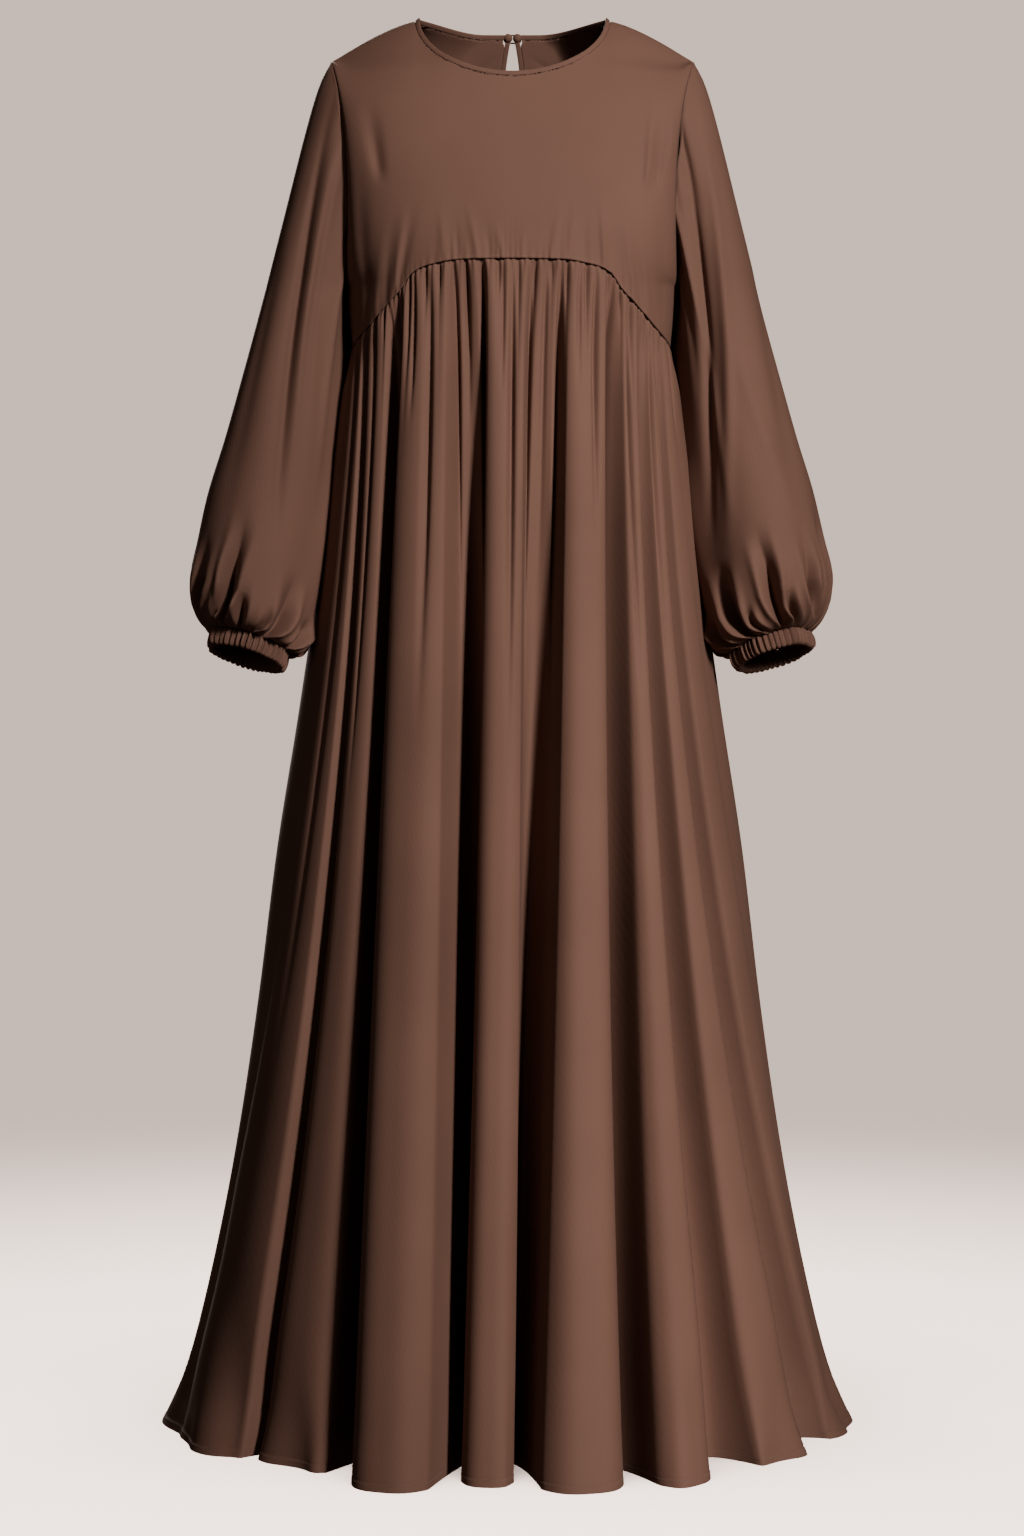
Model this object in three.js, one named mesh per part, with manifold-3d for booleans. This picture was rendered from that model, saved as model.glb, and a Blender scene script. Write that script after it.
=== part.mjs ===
// Long-sleeved abaya, worn hollow: a plain bodice on a curved empire seam, a full gathered skirt in
// deep tube folds, bishop sleeves with ruched cuffs, a bound round neck and a back keyhole.
// Millimetres. +X to the viewer's right, +Y to the back, +Z up. Points are worked out above the
// floor that the hem touches, and the group is lowered so that the origin lies between the shoulders.
import * as THREE from 'three';
import Module from 'manifold-3d';
import { mergeVertices } from 'three/addons/utils/BufferGeometryUtils.js';

// Overall sizes
const ORIGIN_HEIGHT = 1375;
const CLOTH = 1.2;
const SEAM_GAP = 0.3;
const LEAN = 0.0037;
const LEAN_FROM = 700;

// Neck and shoulders
const NECK_HALF_WIDTH = 97;
const NECK_SIDE_HEIGHT = 1398;
const NECK_FRONT_HEIGHT = 1329;
const NECK_BACK_HEIGHT = 1396;
const SHOULDER_HALF_WIDTH = 181;
const SHOULDER_TIP_HEIGHT = 1357;
const SHOULDER_CURVE = 1.35;
const NAPE_RISE = 30;
const FRONT_ROUND = 90;
const NAPE_ROUND = 22;
const BACK_SHOULDER_ROUND = 75;
const NECK_LEAN_AT_SIDE = 0.75;
const NECK_LEAN_AT_MIDDLE = 0.3;
const NECK_RISE_AT_SIDE = 0.66;
const NECK_RISE_AT_MIDDLE = 0.96;

// Armhole, side seam and empire seam
const UNDERARM_HEIGHT = 1130;
const UNDERARM_HALF_WIDTH = 165;
const ARMHOLE_DEPTH = 58;
const ARMHOLE_HOLLOW = 5;
const SEAM_SIDE_HEIGHT = 1070;
const SEAM_HALF_WIDTH = 159;
const SECTION_POWER = 2.4;

// Trim
const BINDING_WIDTH = 5;
const BINDING_THICKNESS = 2;
const BINDING_PROUD = 0.4;
const KEYHOLE_LENGTH = 92;
const KEYHOLE_FULLNESS = 15.4;
const BUTTON_RADIUS = 4.6;
const BUTTON_DROP = 3;
const LOOP_CORD_RADIUS = 0.8;
const LOOP_RADIUS = 4;
const LOOP_BEHIND = 3.9;
const CUTTER_LENGTH = 150;

// Mesh steps
const NECK_STEPS = 16;
const SHOULDER_STEPS = 5;
const ARMHOLE_STEPS = 10;
const SIDE_STEPS = 2;
const KEYHOLE_STEPS = 14;
const GATHERS = 44;
const SKIRT_COLUMNS = GATHERS * 2;
const SLEEVE_COLUMNS = ARMHOLE_STEPS * 4;

// Depth of the bodice from its mid plane
const BODICE_SECTIONS = [
  { height: 1060, front: 121, back: 108 },
  { height: 1141, front: 119, back: 109 },
  { height: 1170, front: 117, back: 110 },
  { height: 1200, front: 112, back: 110 },
  { height: 1250, front: 98, back: 106 },
  { height: 1300, front: 80, back: 99 },
  { height: 1329, front: 67.5, back: 92.5 },
  { height: 1350, front: 61, back: 86 },
  { height: 1375, front: 53, back: 76 },
  { height: 1400, front: 45, back: 66 },
];

// Height of the empire seam, by its share of the way from the centre to the side
const SEAM_LINE = [
  { share: 0, height: 1141.5 },
  { share: 0.3, height: 1141 },
  { share: 0.5, height: 1136.5 },
  { share: 0.6, height: 1130 },
  { share: 0.68, height: 1114 },
  { share: 0.77, height: 1101 },
  { share: 0.87, height: 1086 },
  { share: 1, height: SEAM_SIDE_HEIGHT },
];

// The skirt's outline between its folds
const SKIRT_SECTIONS = [
  { height: 0, halfWidth: 345, front: 303, back: 292, middle: 4, power: 1.6 },
  { height: 50, halfWidth: 323, front: 288, back: 279, middle: 5, power: 1.65 },
  { height: 120, halfWidth: 304, front: 272, back: 264, middle: 7, power: 1.75 },
  { height: 270, halfWidth: 274, front: 246, back: 238, middle: 12, power: 1.9 },
  { height: 420, halfWidth: 252, front: 222, back: 214, middle: 17, power: 2 },
  { height: 570, halfWidth: 234, front: 201, back: 192, middle: 21, power: 2.1 },
  { height: 720, halfWidth: 211, front: 178, back: 171, middle: 23, power: 2.15 },
  { height: 830, halfWidth: 196, front: 162, back: 155, middle: 24, power: 2.2 },
  { height: 920, halfWidth: 187, front: 150, back: 142, middle: 22, power: 2.3 },
  { height: 1020, halfWidth: 172, front: 135, back: 125, middle: 13, power: 2.35 },
  { height: 1071, halfWidth: 159, front: 127, back: 116, middle: 0, power: 2.4 },
  { height: 1142, halfWidth: 162, front: 119, back: 109, middle: 0, power: 2.4 },
];

// Each large fold of the skirt: where its two edges run at the seam, half-way and at the hem, and at
// the hem how far its front lies before the outline, how far it is crowned, and how deep the valley
// on its +X side is
const FRONT_FOLDS = [
  { left: [-156, -219, -333], right: [-146, -186, -263], forward: -8, crown: 6, valley: 12 },
  { left: [-139, -177, -253], right: [-122, -147, -165], forward: -24, crown: 10, valley: 56 },
  { left: [-103, -124, -142], right: [-64, -65, -71], forward: 0, crown: 24, valley: 72 },
  { left: [-23, -32, -52], right: [12, 11, 10], forward: -42, crown: 24, valley: 60 },
  { left: [56, 47, 33], right: [92, 95, 110], forward: -10, crown: 26, valley: 50 },
  { left: [108, 117, 135], right: [122, 141, 188], forward: 6, crown: 20, valley: 34 },
  { left: [134, 167, 239], right: [143, 186, 288], forward: -4, crown: 8, valley: 34 },
  { left: [149, 206, 324], right: [155, 226, 340], forward: -6, crown: 4, valley: 0 },
];
const BACK_FOLDS = [
  { left: [-155, -218, -335], right: [-143, -184, -270], forward: 0, crown: 8, valley: 30 },
  { left: [-132, -160, -232], right: [-112, -138, -176], forward: -6, crown: 14, valley: 52 },
  { left: [-96, -112, -136], right: [-62, -70, -80], forward: -4, crown: 22, valley: 70 },
  { left: [-40, -44, -50], right: [-8, -6, 4], forward: -24, crown: 24, valley: 66 },
  { left: [16, 22, 34], right: [50, 58, 84], forward: -10, crown: 22, valley: 62 },
  { left: [74, 88, 116], right: [100, 122, 168], forward: -2, crown: 18, valley: 48 },
  { left: [120, 148, 212], right: [134, 172, 258], forward: -4, crown: 12, valley: 32 },
  { left: [146, 206, 306], right: [155, 222, 337], forward: 0, crown: 6, valley: 0 },
];
const VALLEY_PINCH = 1.1;
const EDGE_SPACING = 0.014;

// How the skirt leaves its seam: the length over which it takes its own outline, the small gathers
// and the broader tucks under them, each fullest some way down, and the share at the side seams where
// both fade. The top lies a little lower than the bodice's edge.
const SETTLE_LENGTH = 60;
const GATHER_AT_SEAM = 0.8;
const GATHER_HEIGHT = 2.6;
const GATHER_FULLEST = 22;
const TUCKS = 20;
const TUCK_DRIFT = 0.9;
const TUCK_HEIGHT = 4.5;
const TUCK_FULLEST = 80;
const CALM_SHARE = 1 / 12;
const SKIRT_TOP_DROP = 0.48;

// How far down its own length each row of the skirt lies
const SKIRT_ROWS = [0, 0.009, 0.027, 0.06, 0.11, 0.19, 0.32, 0.5, 0.68, 0.86, 0.96, 1];

// The sleeve's outer and inner edge and half depth, down to its widest ring
const SLEEVE_SECTIONS = [
  { height: 800, outer: 317, inner: 202, depth: 71 },
  { height: 840, outer: 317, inner: 198.5, depth: 72 },
  { height: 880, outer: 310, inner: 192, depth: 70 },
  { height: 920, outer: 302, inner: 184.5, depth: 67 },
  { height: 980, outer: 284.5, inner: 177, depth: 62 },
  { height: 1040, outer: 268.5, inner: 172, depth: 60 },
  { height: 1100, outer: 253, inner: 168.5, depth: 59 },
  { height: 1160, outer: 238, inner: 165.5, depth: 58 },
  { height: 1220, outer: 223, inner: 165, depth: 57 },
  { height: 1280, outer: 208, inner: 165, depth: 52 },
  { height: 1320, outer: 197, inner: 165, depth: 44 },
  { height: 1340, outer: 190, inner: 165, depth: 34 },
  { height: 1357, outer: 181, inner: 165, depth: 20 },
];
// The long creases of each sleeve: the turn at which each starts and ends, counted from the outer
// line to the front, the heights between, its depth, and half its width in turn
const SLEEVE_FOLDS = [
  { side: -1, from: 1310, to: 850, start: 0.8, end: 2.05, depth: 7, spread: 0.3 },
  { side: -1, from: 1330, to: 960, start: 1.25, end: 2.5, depth: 5, spread: 0.25 },
  { side: -1, from: 1320, to: 870, start: 5.3, end: 4.5, depth: 6, spread: 0.3 },
  { side: 1, from: 1320, to: 880, start: 1.1, end: 2.55, depth: 7, spread: 0.3 },
  { side: 1, from: 1150, to: 850, start: 0.2, end: 1.1, depth: 5, spread: 0.3 },
  { side: 1, from: 1310, to: 900, start: 5.1, end: 4.3, depth: 6, spread: 0.3 },
];
const LIP_OUTER_HEIGHT = 844;
const LIP_INNER_HEIGHT = 802;
const LIP_DROP = 30;
const SLEEVE_LONG_ROWS = 8;
const SLEEVE_LIP_ROWS = 3;
const LIP_SWELL = 17;
const LIP_LEVEL = 2;
const LIP_TILT = 3;
const SLEEVE_GATHER = 2.2;
const SLEEVE_FORWARD = 28;

// The cuff: the middle of its top ring, and the way its opening faces on the -X sleeve
const CUFF_CENTRE = new THREE.Vector3(-257, -32, 776);
const CUFF_FACING = new THREE.Vector3(-0.27, -0.24, -0.93).normalize();
const CUFF_RADIUS = 36.5;
const CUFF_HEIGHT = 17;
const CUFF_THICKNESS = 2.4;
const RUCHE_HEIGHT = 2.2;
const CUFF_ROWS = [
  { along: 0, swell: 0 },
  { along: 0.2, swell: 2.2 },
  { along: 0.8, swell: 2.4 },
  { along: 1, swell: 0.6 },
];

const COCOA = 0x78564a;
const COCOA_DARK = 0x6b4b40;

// A smooth curve with no overshoot through one column of a table
function fitted(table, from, to) {
  const rows = [...table].sort((a, b) => a[from] - b[from]);
  const at = rows.map((row) => row[from]);
  const value = rows.map((row) => row[to]);
  const last = rows.length - 1;
  const rise = at.slice(1).map((x, i) => (value[i + 1] - value[i]) / (x - at[i]));
  const slope = value.map((_, i) => {
    if (i === 0) return rise[0];
    if (i === last) return rise[last - 1];
    const product = rise[i - 1] * rise[i];
    return product <= 0 ? 0 : (2 * product) / (rise[i - 1] + rise[i]);
  });
  return (x) => {
    if (x <= at[0]) return value[0];
    if (x >= at[last]) return value[last];
    const i = at.findIndex((start, k) => x >= start && x < at[k + 1]);
    const span = at[i + 1] - at[i];
    const t = (x - at[i]) / span;
    const rest = 1 - t;
    return value[i] * rest * rest * (1 + 2 * t) + value[i + 1] * t * t * (3 - 2 * t)
      + span * (slope[i] * t * rest * rest - slope[i + 1] * t * t * rest);
  };
}

// The least part of a cut edge's normal that may point out of the garment
const LEAST_NORMAL = 0.02;

const mix = THREE.MathUtils.lerp;
const clamp = THREE.MathUtils.clamp;
const steps = (count) => Array.from({ length: count + 1 }, (_, i) => i);

// A closed wall of cloth under a grid of outer points. The grid runs down in rows. around joins the
// last column to the first, flip turns the faces round, and trueEdge squares the cut edges.
function clothWall(grid, { thickness = CLOTH, around = false, flip = false, trueEdge = null } = {}) {
  const columns = grid[0].length;
  const spans = around ? columns : columns - 1;
  const index = (i, j) => i * columns + (j % columns);
  const outside = [];
  for (let i = 0; i + 1 < grid.length; i += 1) {
    for (let j = 0; j < spans; j += 1) {
      const corners = [index(i, j), index(i + 1, j), index(i, j + 1), index(i + 1, j + 1)];
      const [a, c, b, d] = corners;
      const pair = (i + j) % 2 ? [[a, c, b], [b, c, d]] : [[a, c, d], [a, d, b]];
      pair.forEach((face) => outside.push(flip ? [face[0], face[2], face[1]] : face));
    }
  }
  const points = grid.flat();
  const sheet = new THREE.BufferGeometry().setFromPoints(points);
  sheet.setIndex(outside.flat());
  sheet.computeVertexNormals();
  const normals = sheet.getAttribute('normal');
  const inner = points.map((point, k) => {
    const normal = new THREE.Vector3().fromBufferAttribute(normals, k);
    if (trueEdge) trueEdge(normal, Math.floor(k / columns), k % columns);
    return point.clone().addScaledVector(normal.normalize(), -thickness);
  });
  const count = points.length;
  const edges = new Set(outside.flatMap(([a, b, c]) => [`${a}_${b}`, `${b}_${c}`, `${c}_${a}`]));
  const faces = outside.flatMap(([a, b, c]) => [[a, b, c], [a + count, c + count, b + count]]);
  edges.forEach((edge) => {
    const [a, b] = edge.split('_').map(Number);
    if (edges.has(`${b}_${a}`)) return;
    faces.push([b, a, a + count], [b, a + count, b + count]);
  });
  const geometry = new THREE.BufferGeometry().setFromPoints([...points, ...inner]);
  geometry.setIndex(faces.flat());
  return geometry;
}

// The whole garment leans a little towards +X with its height
function lean(geometry) {
  const position = geometry.getAttribute('position');
  for (let k = 0; k < position.count; k += 1) {
    position.setX(k, position.getX(k) + LEAN * (position.getZ(k) - LEAN_FROM));
  }
  return geometry;
}

// Bodice
const bodiceDepth = {
  front: fitted(BODICE_SECTIONS, 'height', 'front'),
  back: fitted(BODICE_SECTIONS, 'height', 'back'),
};
const seamHeight = fitted(SEAM_LINE, 'share', 'height');
const facing = { front: -1, back: 1 };

function shoulderHeight(x) {
  const out = Math.abs(x) - NECK_HALF_WIDTH;
  if (out <= 0) return NECK_SIDE_HEIGHT + NAPE_RISE * (1 - (x / NECK_HALF_WIDTH) ** 2) ** 2;
  const share = out / (SHOULDER_HALF_WIDTH - NECK_HALF_WIDTH);
  return mix(NECK_SIDE_HEIGHT, SHOULDER_TIP_HEIGHT, share ** SHOULDER_CURVE);
}

function neckHeight(face, x) {
  const low = face === 'front' ? NECK_FRONT_HEIGHT : NECK_BACK_HEIGHT;
  const across = clamp(Math.abs(x) / NECK_HALF_WIDTH, 0, 1);
  return mix(NECK_SIDE_HEIGHT, low, Math.sqrt(1 - across * across));
}

// The armhole from the shoulder tip, at turn 0, to the underarm, at turn pi
function armhole(turn) {
  const down = Math.sin(turn / 2) ** 2;
  return {
    halfWidth: UNDERARM_HALF_WIDTH + (SHOULDER_HALF_WIDTH - UNDERARM_HALF_WIDTH) * (1 - down) ** 3
      - ARMHOLE_HOLLOW * Math.sin(turn) ** 2,
    depth: ARMHOLE_DEPTH * Math.sin(turn),
    height: mix(SHOULDER_TIP_HEIGHT, UNDERARM_HEIGHT, down),
  };
}

function armholeDepthAt(height) {
  const span = SHOULDER_TIP_HEIGHT - UNDERARM_HEIGHT;
  const down = clamp((SHOULDER_TIP_HEIGHT - height) / span, 0, 1);
  return 2 * ARMHOLE_DEPTH * Math.sqrt(down * (1 - down));
}

// Depth of the bodice at a point of its front view, by its share of the way to the edge
function bodiceReach(face, x, share, height) {
  const edge = armholeDepthAt(height);
  const curve = Math.sqrt(Math.max(0, 1 - Math.abs(share) ** SECTION_POWER));
  const outwards = Math.min(1, (x / NECK_HALF_WIDTH) ** 2);
  const round = face === 'front' ? FRONT_ROUND : mix(NAPE_ROUND, BACK_SHOULDER_ROUND, outwards);
  const down = clamp((shoulderHeight(x) - height) / round, 0, 1);
  const top = Math.sqrt(1 - (1 - down) ** 2);
  return edge * mix(1, top, 1 - Math.abs(share) ** 8)
    + (bodiceDepth[face](height) - edge) * curve * top;
}

const bodiceRows = ARMHOLE_STEPS + SIDE_STEPS;

function bodiceEdge(row) {
  if (row <= ARMHOLE_STEPS) {
    const { halfWidth, height } = armhole(Math.PI * row / ARMHOLE_STEPS);
    return { halfWidth, height };
  }
  const share = (row - ARMHOLE_STEPS) / SIDE_STEPS;
  return {
    halfWidth: mix(UNDERARM_HALF_WIDTH, SEAM_HALF_WIDTH, share),
    height: mix(UNDERARM_HEIGHT, SEAM_SIDE_HEIGHT, share),
  };
}

const neckShare = NECK_HALF_WIDTH / SHOULDER_HALF_WIDTH;
const bodiceShares = [
  ...steps(SHOULDER_STEPS).map((i) => mix(-1, -neckShare, i / SHOULDER_STEPS)),
  ...steps(NECK_STEPS).slice(1, -1).map((i) => -neckShare * Math.cos(Math.PI * i / NECK_STEPS)),
  ...steps(SHOULDER_STEPS).map((i) => mix(neckShare, 1, i / SHOULDER_STEPS)),
];

function bodicePoint(face, share, row) {
  const edge = bodiceEdge(row);
  const x = share * edge.halfWidth;
  const topX = share * SHOULDER_HALF_WIDTH;
  const inNeck = Math.abs(share) < neckShare;
  const top = inNeck ? neckHeight(face, topX) : shoulderHeight(topX);
  const low = seamHeight(Math.abs(share));
  const even = row / bodiceRows;
  const edgeFall = (SHOULDER_TIP_HEIGHT - edge.height) / (SHOULDER_TIP_HEIGHT - SEAM_SIDE_HEIGHT);
  const height = mix(top, low, mix(even, edgeFall, Math.abs(share) ** 3));
  const reach = row === 0 && !inNeck ? 0 : bodiceReach(face, x, share, height);
  return new THREE.Vector3(x, facing[face] * (reach + SEAM_GAP / 2), height);
}

function bodiceGrid(face) {
  return steps(bodiceRows).map((row) => bodiceShares.map((share) => bodicePoint(face, share, row)));
}

// The way the neck binding stands on the neck's edge: up, and towards the neck's middle
function neckUp(face, x) {
  const across = clamp(x / NECK_HALF_WIDTH, -1, 1);
  const along = Math.sqrt(1 - across * across);
  const rise = mix(NECK_RISE_AT_SIDE, NECK_RISE_AT_MIDDLE, along);
  return new THREE.Vector3(
    -NECK_LEAN_AT_SIDE * across,
    -facing[face] * NECK_LEAN_AT_MIDDLE * along,
    rise,
  ).normalize();
}

// The way out of the garment at a point of the empire seam, level with the floor
function seamOutward(face, { x, z }) {
  const share = clamp(x / SEAM_HALF_WIDTH, -1, 1);
  const forward = Math.sqrt(Math.max(0, 1 - Math.abs(share) ** SECTION_POWER));
  const slope = Math.sign(share) * Math.abs(share) ** (SECTION_POWER - 1) * SECTION_POWER;
  const normal = new THREE.Vector3(
    slope / SEAM_HALF_WIDTH,
    facing[face] * 2 * forward / bodiceDepth[face](z),
    0,
  );
  return normal.normalize();
}

// Normals on a cut edge are turned along the cut, so that walls that meet there stay apart
function squareBodice(face, normal, row, column) {
  const side = column === 0 ? -1 : 1;
  const atSide = column === 0 || column === bodiceShares.length - 1;
  const share = bodiceShares[column];
  if (row === bodiceRows) normal.copy(seamOutward(face, bodicePoint(face, share, row)));
  if (row === 0 && Math.abs(share) >= neckShare) normal.y = 0;
  if (row === 0 && Math.abs(share) < neckShare) {
    normal.projectOnPlane(neckUp(face, share * SHOULDER_HALF_WIDTH));
  }
  if (!atSide) return;
  if (row >= ARMHOLE_STEPS || row === 0) normal.y = 0;
  normal.x = side * Math.max(0, side * normal.x);
  if (normal.length() < LEAST_NORMAL) normal.set(side, 0, 0);
}

function bodicePanel(face) {
  const trueEdge = (normal, row, column) => squareBodice(face, normal, row, column);
  return clothWall(bodiceGrid(face), { flip: face === 'back', trueEdge });
}

// Skirt
const skirtWidth = fitted(SKIRT_SECTIONS, 'height', 'halfWidth');
const skirtPower = fitted(SKIRT_SECTIONS, 'height', 'power');
const skirtMiddle = fitted(SKIRT_SECTIONS, 'height', 'middle');
const skirtDepth = {
  front: fitted(SKIRT_SECTIONS, 'height', 'front'),
  back: fitted(SKIRT_SECTIONS, 'height', 'back'),
};

// The bodice's lower edge as a line that the skirt's top follows, by its share from -X to +X
function seamLine(face) {
  const points = bodiceShares.map((share) => bodicePoint(face, share, bodiceRows));
  const lengths = points.map((point, k) => (k ? point.distanceTo(points[k - 1]) : 0));
  const total = lengths.reduce((sum, length) => sum + length, 0);
  let run = 0;
  const shares = lengths.map((length) => {
    run += length;
    return run / total;
  });
  const segmentAt = (list, value) => clamp(list.findIndex((end) => value <= end), 1, list.length - 1);
  return {
    at(share) {
      const k = segmentAt(shares, share);
      const part = (share - shares[k - 1]) / (shares[k] - shares[k - 1]);
      return points[k - 1].clone().lerp(points[k], part);
    },
    shareAt(x) {
      const k = segmentAt(points.map((point) => point.x), x);
      return mix(shares[k - 1], shares[k], (x - points[k - 1].x) / (points[k].x - points[k - 1].x));
    },
  };
}

// A curve through a value at the seam, half-way and at the hem
const through = ([top, half, hem], fall) => top * (1 - fall) * (1 - 2 * fall)
  + 4 * half * fall * (1 - fall) + hem * fall * (2 * fall - 1);

// A rise from nothing to 1 at the given distance down, and a slow fall after it
const fullestAt = (distance, down) => (down / distance) * Math.exp(1 - down / distance);

// The stretches of a panel from side to side: the folds' fronts, and the valleys between them
function stretches(folds, seam) {
  const list = [];
  let from = { share: 0, line: null, side: -1, forward: 0 };
  let valley = 0;
  const edgeCount = folds.length * 2;
  const limits = (count) => [EDGE_SPACING * count, EDGE_SPACING * (edgeCount + 1 - count)];
  folds.forEach((fold, k) => {
    const left = { share: seam.shareAt(fold.left[0]), line: fold.left };
    const right = { share: seam.shareAt(fold.right[0]), line: fold.right };
    left.limits = limits(2 * k + 1);
    right.limits = limits(2 * k + 2);
    left.forward = fold.forward;
    right.forward = fold.forward;
    list.push({ from, to: left, valley, crown: 0 });
    list.push({ from: left, to: right, valley: 0, crown: fold.crown });
    from = right;
    valley = fold.valley;
  });
  list.push({ from, to: { share: 1, line: null, side: 1, forward: 0 }, valley, crown: 0 });
  return list;
}

// The way round the outline to a fold's edge, kept in order beside the side seams
function edgeAngle(edge, fall, halfWidth) {
  if (!edge.line) return edge.side * Math.PI / 2;
  const [fromLeft, fromRight] = edge.limits;
  return Math.asin(clamp(through(edge.line, fall) / halfWidth, fromLeft - 1, 1 - fromRight));
}

function skirtSurface(face, folds, seam) {
  const list = stretches(folds, seam);
  const outline = (share, fall) => {
    const start = seam.at(share);
    const height = start.z * (1 - fall);
    const halfWidth = skirtWidth(height);
    const stretch = list.find(({ to }) => share <= to.share) ?? list[list.length - 1];
    const q = clamp((share - stretch.from.share) / (stretch.to.share - stretch.from.share), 0, 1);
    const pinch = stretch.valley > 0 ? VALLEY_PINCH * Math.sqrt(fall) : 0;
    const across = q - pinch * Math.sin(2 * Math.PI * q) / (2 * Math.PI);
    const fromAngle = edgeAngle(stretch.from, fall, halfWidth);
    const angle = mix(fromAngle, edgeAngle(stretch.to, fall, halfWidth), across);
    const sunk = stretch.valley * fall * Math.sin(Math.PI * q);
    const proud = stretch.crown * fall * (1 - Math.abs(2 * q - 1) ** 3);
    const lying = fall * mix(stretch.from.forward, stretch.to.forward, q * q * (3 - 2 * q));
    const middle = skirtMiddle(height);
    const depth = skirtDepth[face](height) - facing[face] * middle;
    const power = skirtPower(height);
    const sideways = Math.sin(angle);
    const forward = Math.sqrt(Math.max(0, 1 - Math.abs(sideways) ** power));
    const outward = new THREE.Vector3(
      Math.sign(sideways) * Math.abs(sideways) ** (power - 1) * power / halfWidth,
      facing[face] * 2 * forward / depth,
      0,
    ).normalize();
    const along = middle + facing[face] * forward * depth;
    const point = new THREE.Vector3(sideways * halfWidth, along, height);
    return { point: point.addScaledVector(outward, proud + lying - sunk), outward, start };
  };
  return (share, fall) => {
    const { point, outward, start } = outline(share, fall);
    const top = outline(share, 0);
    const down = start.z * fall;
    const settle = Math.exp(-down / SETTLE_LENGTH);
    point.add(start.clone().sub(top.point).multiplyScalar(settle));
    const small = GATHER_AT_SEAM * settle + GATHER_HEIGHT * fullestAt(GATHER_FULLEST, down);
    const calm = Math.min(1, Math.min(share, 1 - share) / CALM_SHARE);
    const fine = small * (1 - Math.cos(2 * Math.PI * GATHERS * share)) / 2;
    const drift = TUCK_DRIFT * Math.sin(6 * Math.PI * share);
    const broad = TUCK_HEIGHT * fullestAt(TUCK_FULLEST, down) * Math.cos(2 * Math.PI * TUCKS * share + drift);
    point.addScaledVector(outward, calm * (fine + broad));
    point.z -= SKIRT_TOP_DROP * (1 - fall);
    if (share === 0 || share === 1) point.y = skirtMiddle(point.z) + facing[face] * SEAM_GAP / 2;
    return point;
  };
}

function skirtPanel(face, folds) {
  const seam = seamLine(face);
  const surface = skirtSurface(face, folds, seam);
  const grid = SKIRT_ROWS.map((fall) => steps(SKIRT_COLUMNS).map((j) => surface(j / SKIRT_COLUMNS, fall)));
  const trueEdge = (normal, row, column) => {
    if (row === SKIRT_ROWS.length - 1) normal.z = 0;
    if (row === 0) normal.copy(seamOutward(face, seam.at(column / SKIRT_COLUMNS)));
    if (column === 0 || column === SKIRT_COLUMNS) normal.set(column === 0 ? -1 : 1, 0, 0);
  };
  return clothWall(grid, { flip: face === 'back', trueEdge });
}

// Sleeves, worked out on the -X side. Turn 0 is the outer line, and it grows towards the front.
const sleeveOuter = fitted(SLEEVE_SECTIONS, 'height', 'outer');
const sleeveInner = fitted(SLEEVE_SECTIONS, 'height', 'inner');
const sleeveDepth = fitted(SLEEVE_SECTIONS, 'height', 'depth');

function sleeveRing(turn, height) {
  const outer = sleeveOuter(height);
  const inner = sleeveInner(height);
  const low = clamp((UNDERARM_HEIGHT - height) / (UNDERARM_HEIGHT - LIP_INNER_HEIGHT), 0, 1);
  return new THREE.Vector3(
    -(outer + inner) / 2 - (outer - inner) / 2 * Math.cos(turn),
    -sleeveDepth(height) * Math.sin(turn) - SLEEVE_FORWARD * low,
    height,
  );
}

// The armhole line that the sleeve is set to: the bodice edge's straight steps, halved
function armholeLine(column) {
  const half = SLEEVE_COLUMNS / 2;
  const back = column > half;
  const step = (back ? SLEEVE_COLUMNS - column : column) * ARMHOLE_STEPS / half;
  const corner = (row) => bodicePoint(back ? 'back' : 'front', -1, row);
  const low = Math.floor(step);
  const point = corner(low).lerp(corner(Math.min(low + 1, ARMHOLE_STEPS)), step - low);
  if (column === 0 || column === half) point.y = 0;
  point.x -= SEAM_GAP;
  return point;
}

// Two directions across the cuff: to the wearer's outside, and to the front
const cuffOut = new THREE.Vector3(-1, 0, 0).projectOnPlane(CUFF_FACING).normalize();
const cuffFront = new THREE.Vector3().crossVectors(CUFF_FACING, cuffOut).normalize();
if (cuffFront.y > 0) cuffFront.negate();

function cuffPoint(turn, along, radius) {
  return CUFF_CENTRE.clone()
    .addScaledVector(CUFF_FACING, along)
    .addScaledVector(cuffOut, radius * Math.cos(turn))
    .addScaledVector(cuffFront, radius * Math.sin(turn));
}

const ruche = (column) => (column % 2 ? 1 : 0);

// How far the long creases draw a sleeve in
function creaseAt(side, turn, height) {
  return SLEEVE_FOLDS.filter((fold) => fold.side === side).reduce((sum, fold) => {
    const run = clamp((fold.from - height) / (fold.from - fold.to), 0, 1);
    const off = (turn - mix(fold.start, fold.end, run)) / fold.spread;
    return sum + fold.depth * Math.sin(Math.PI * run) * Math.exp(-off * off);
  }, 0);
}

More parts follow.
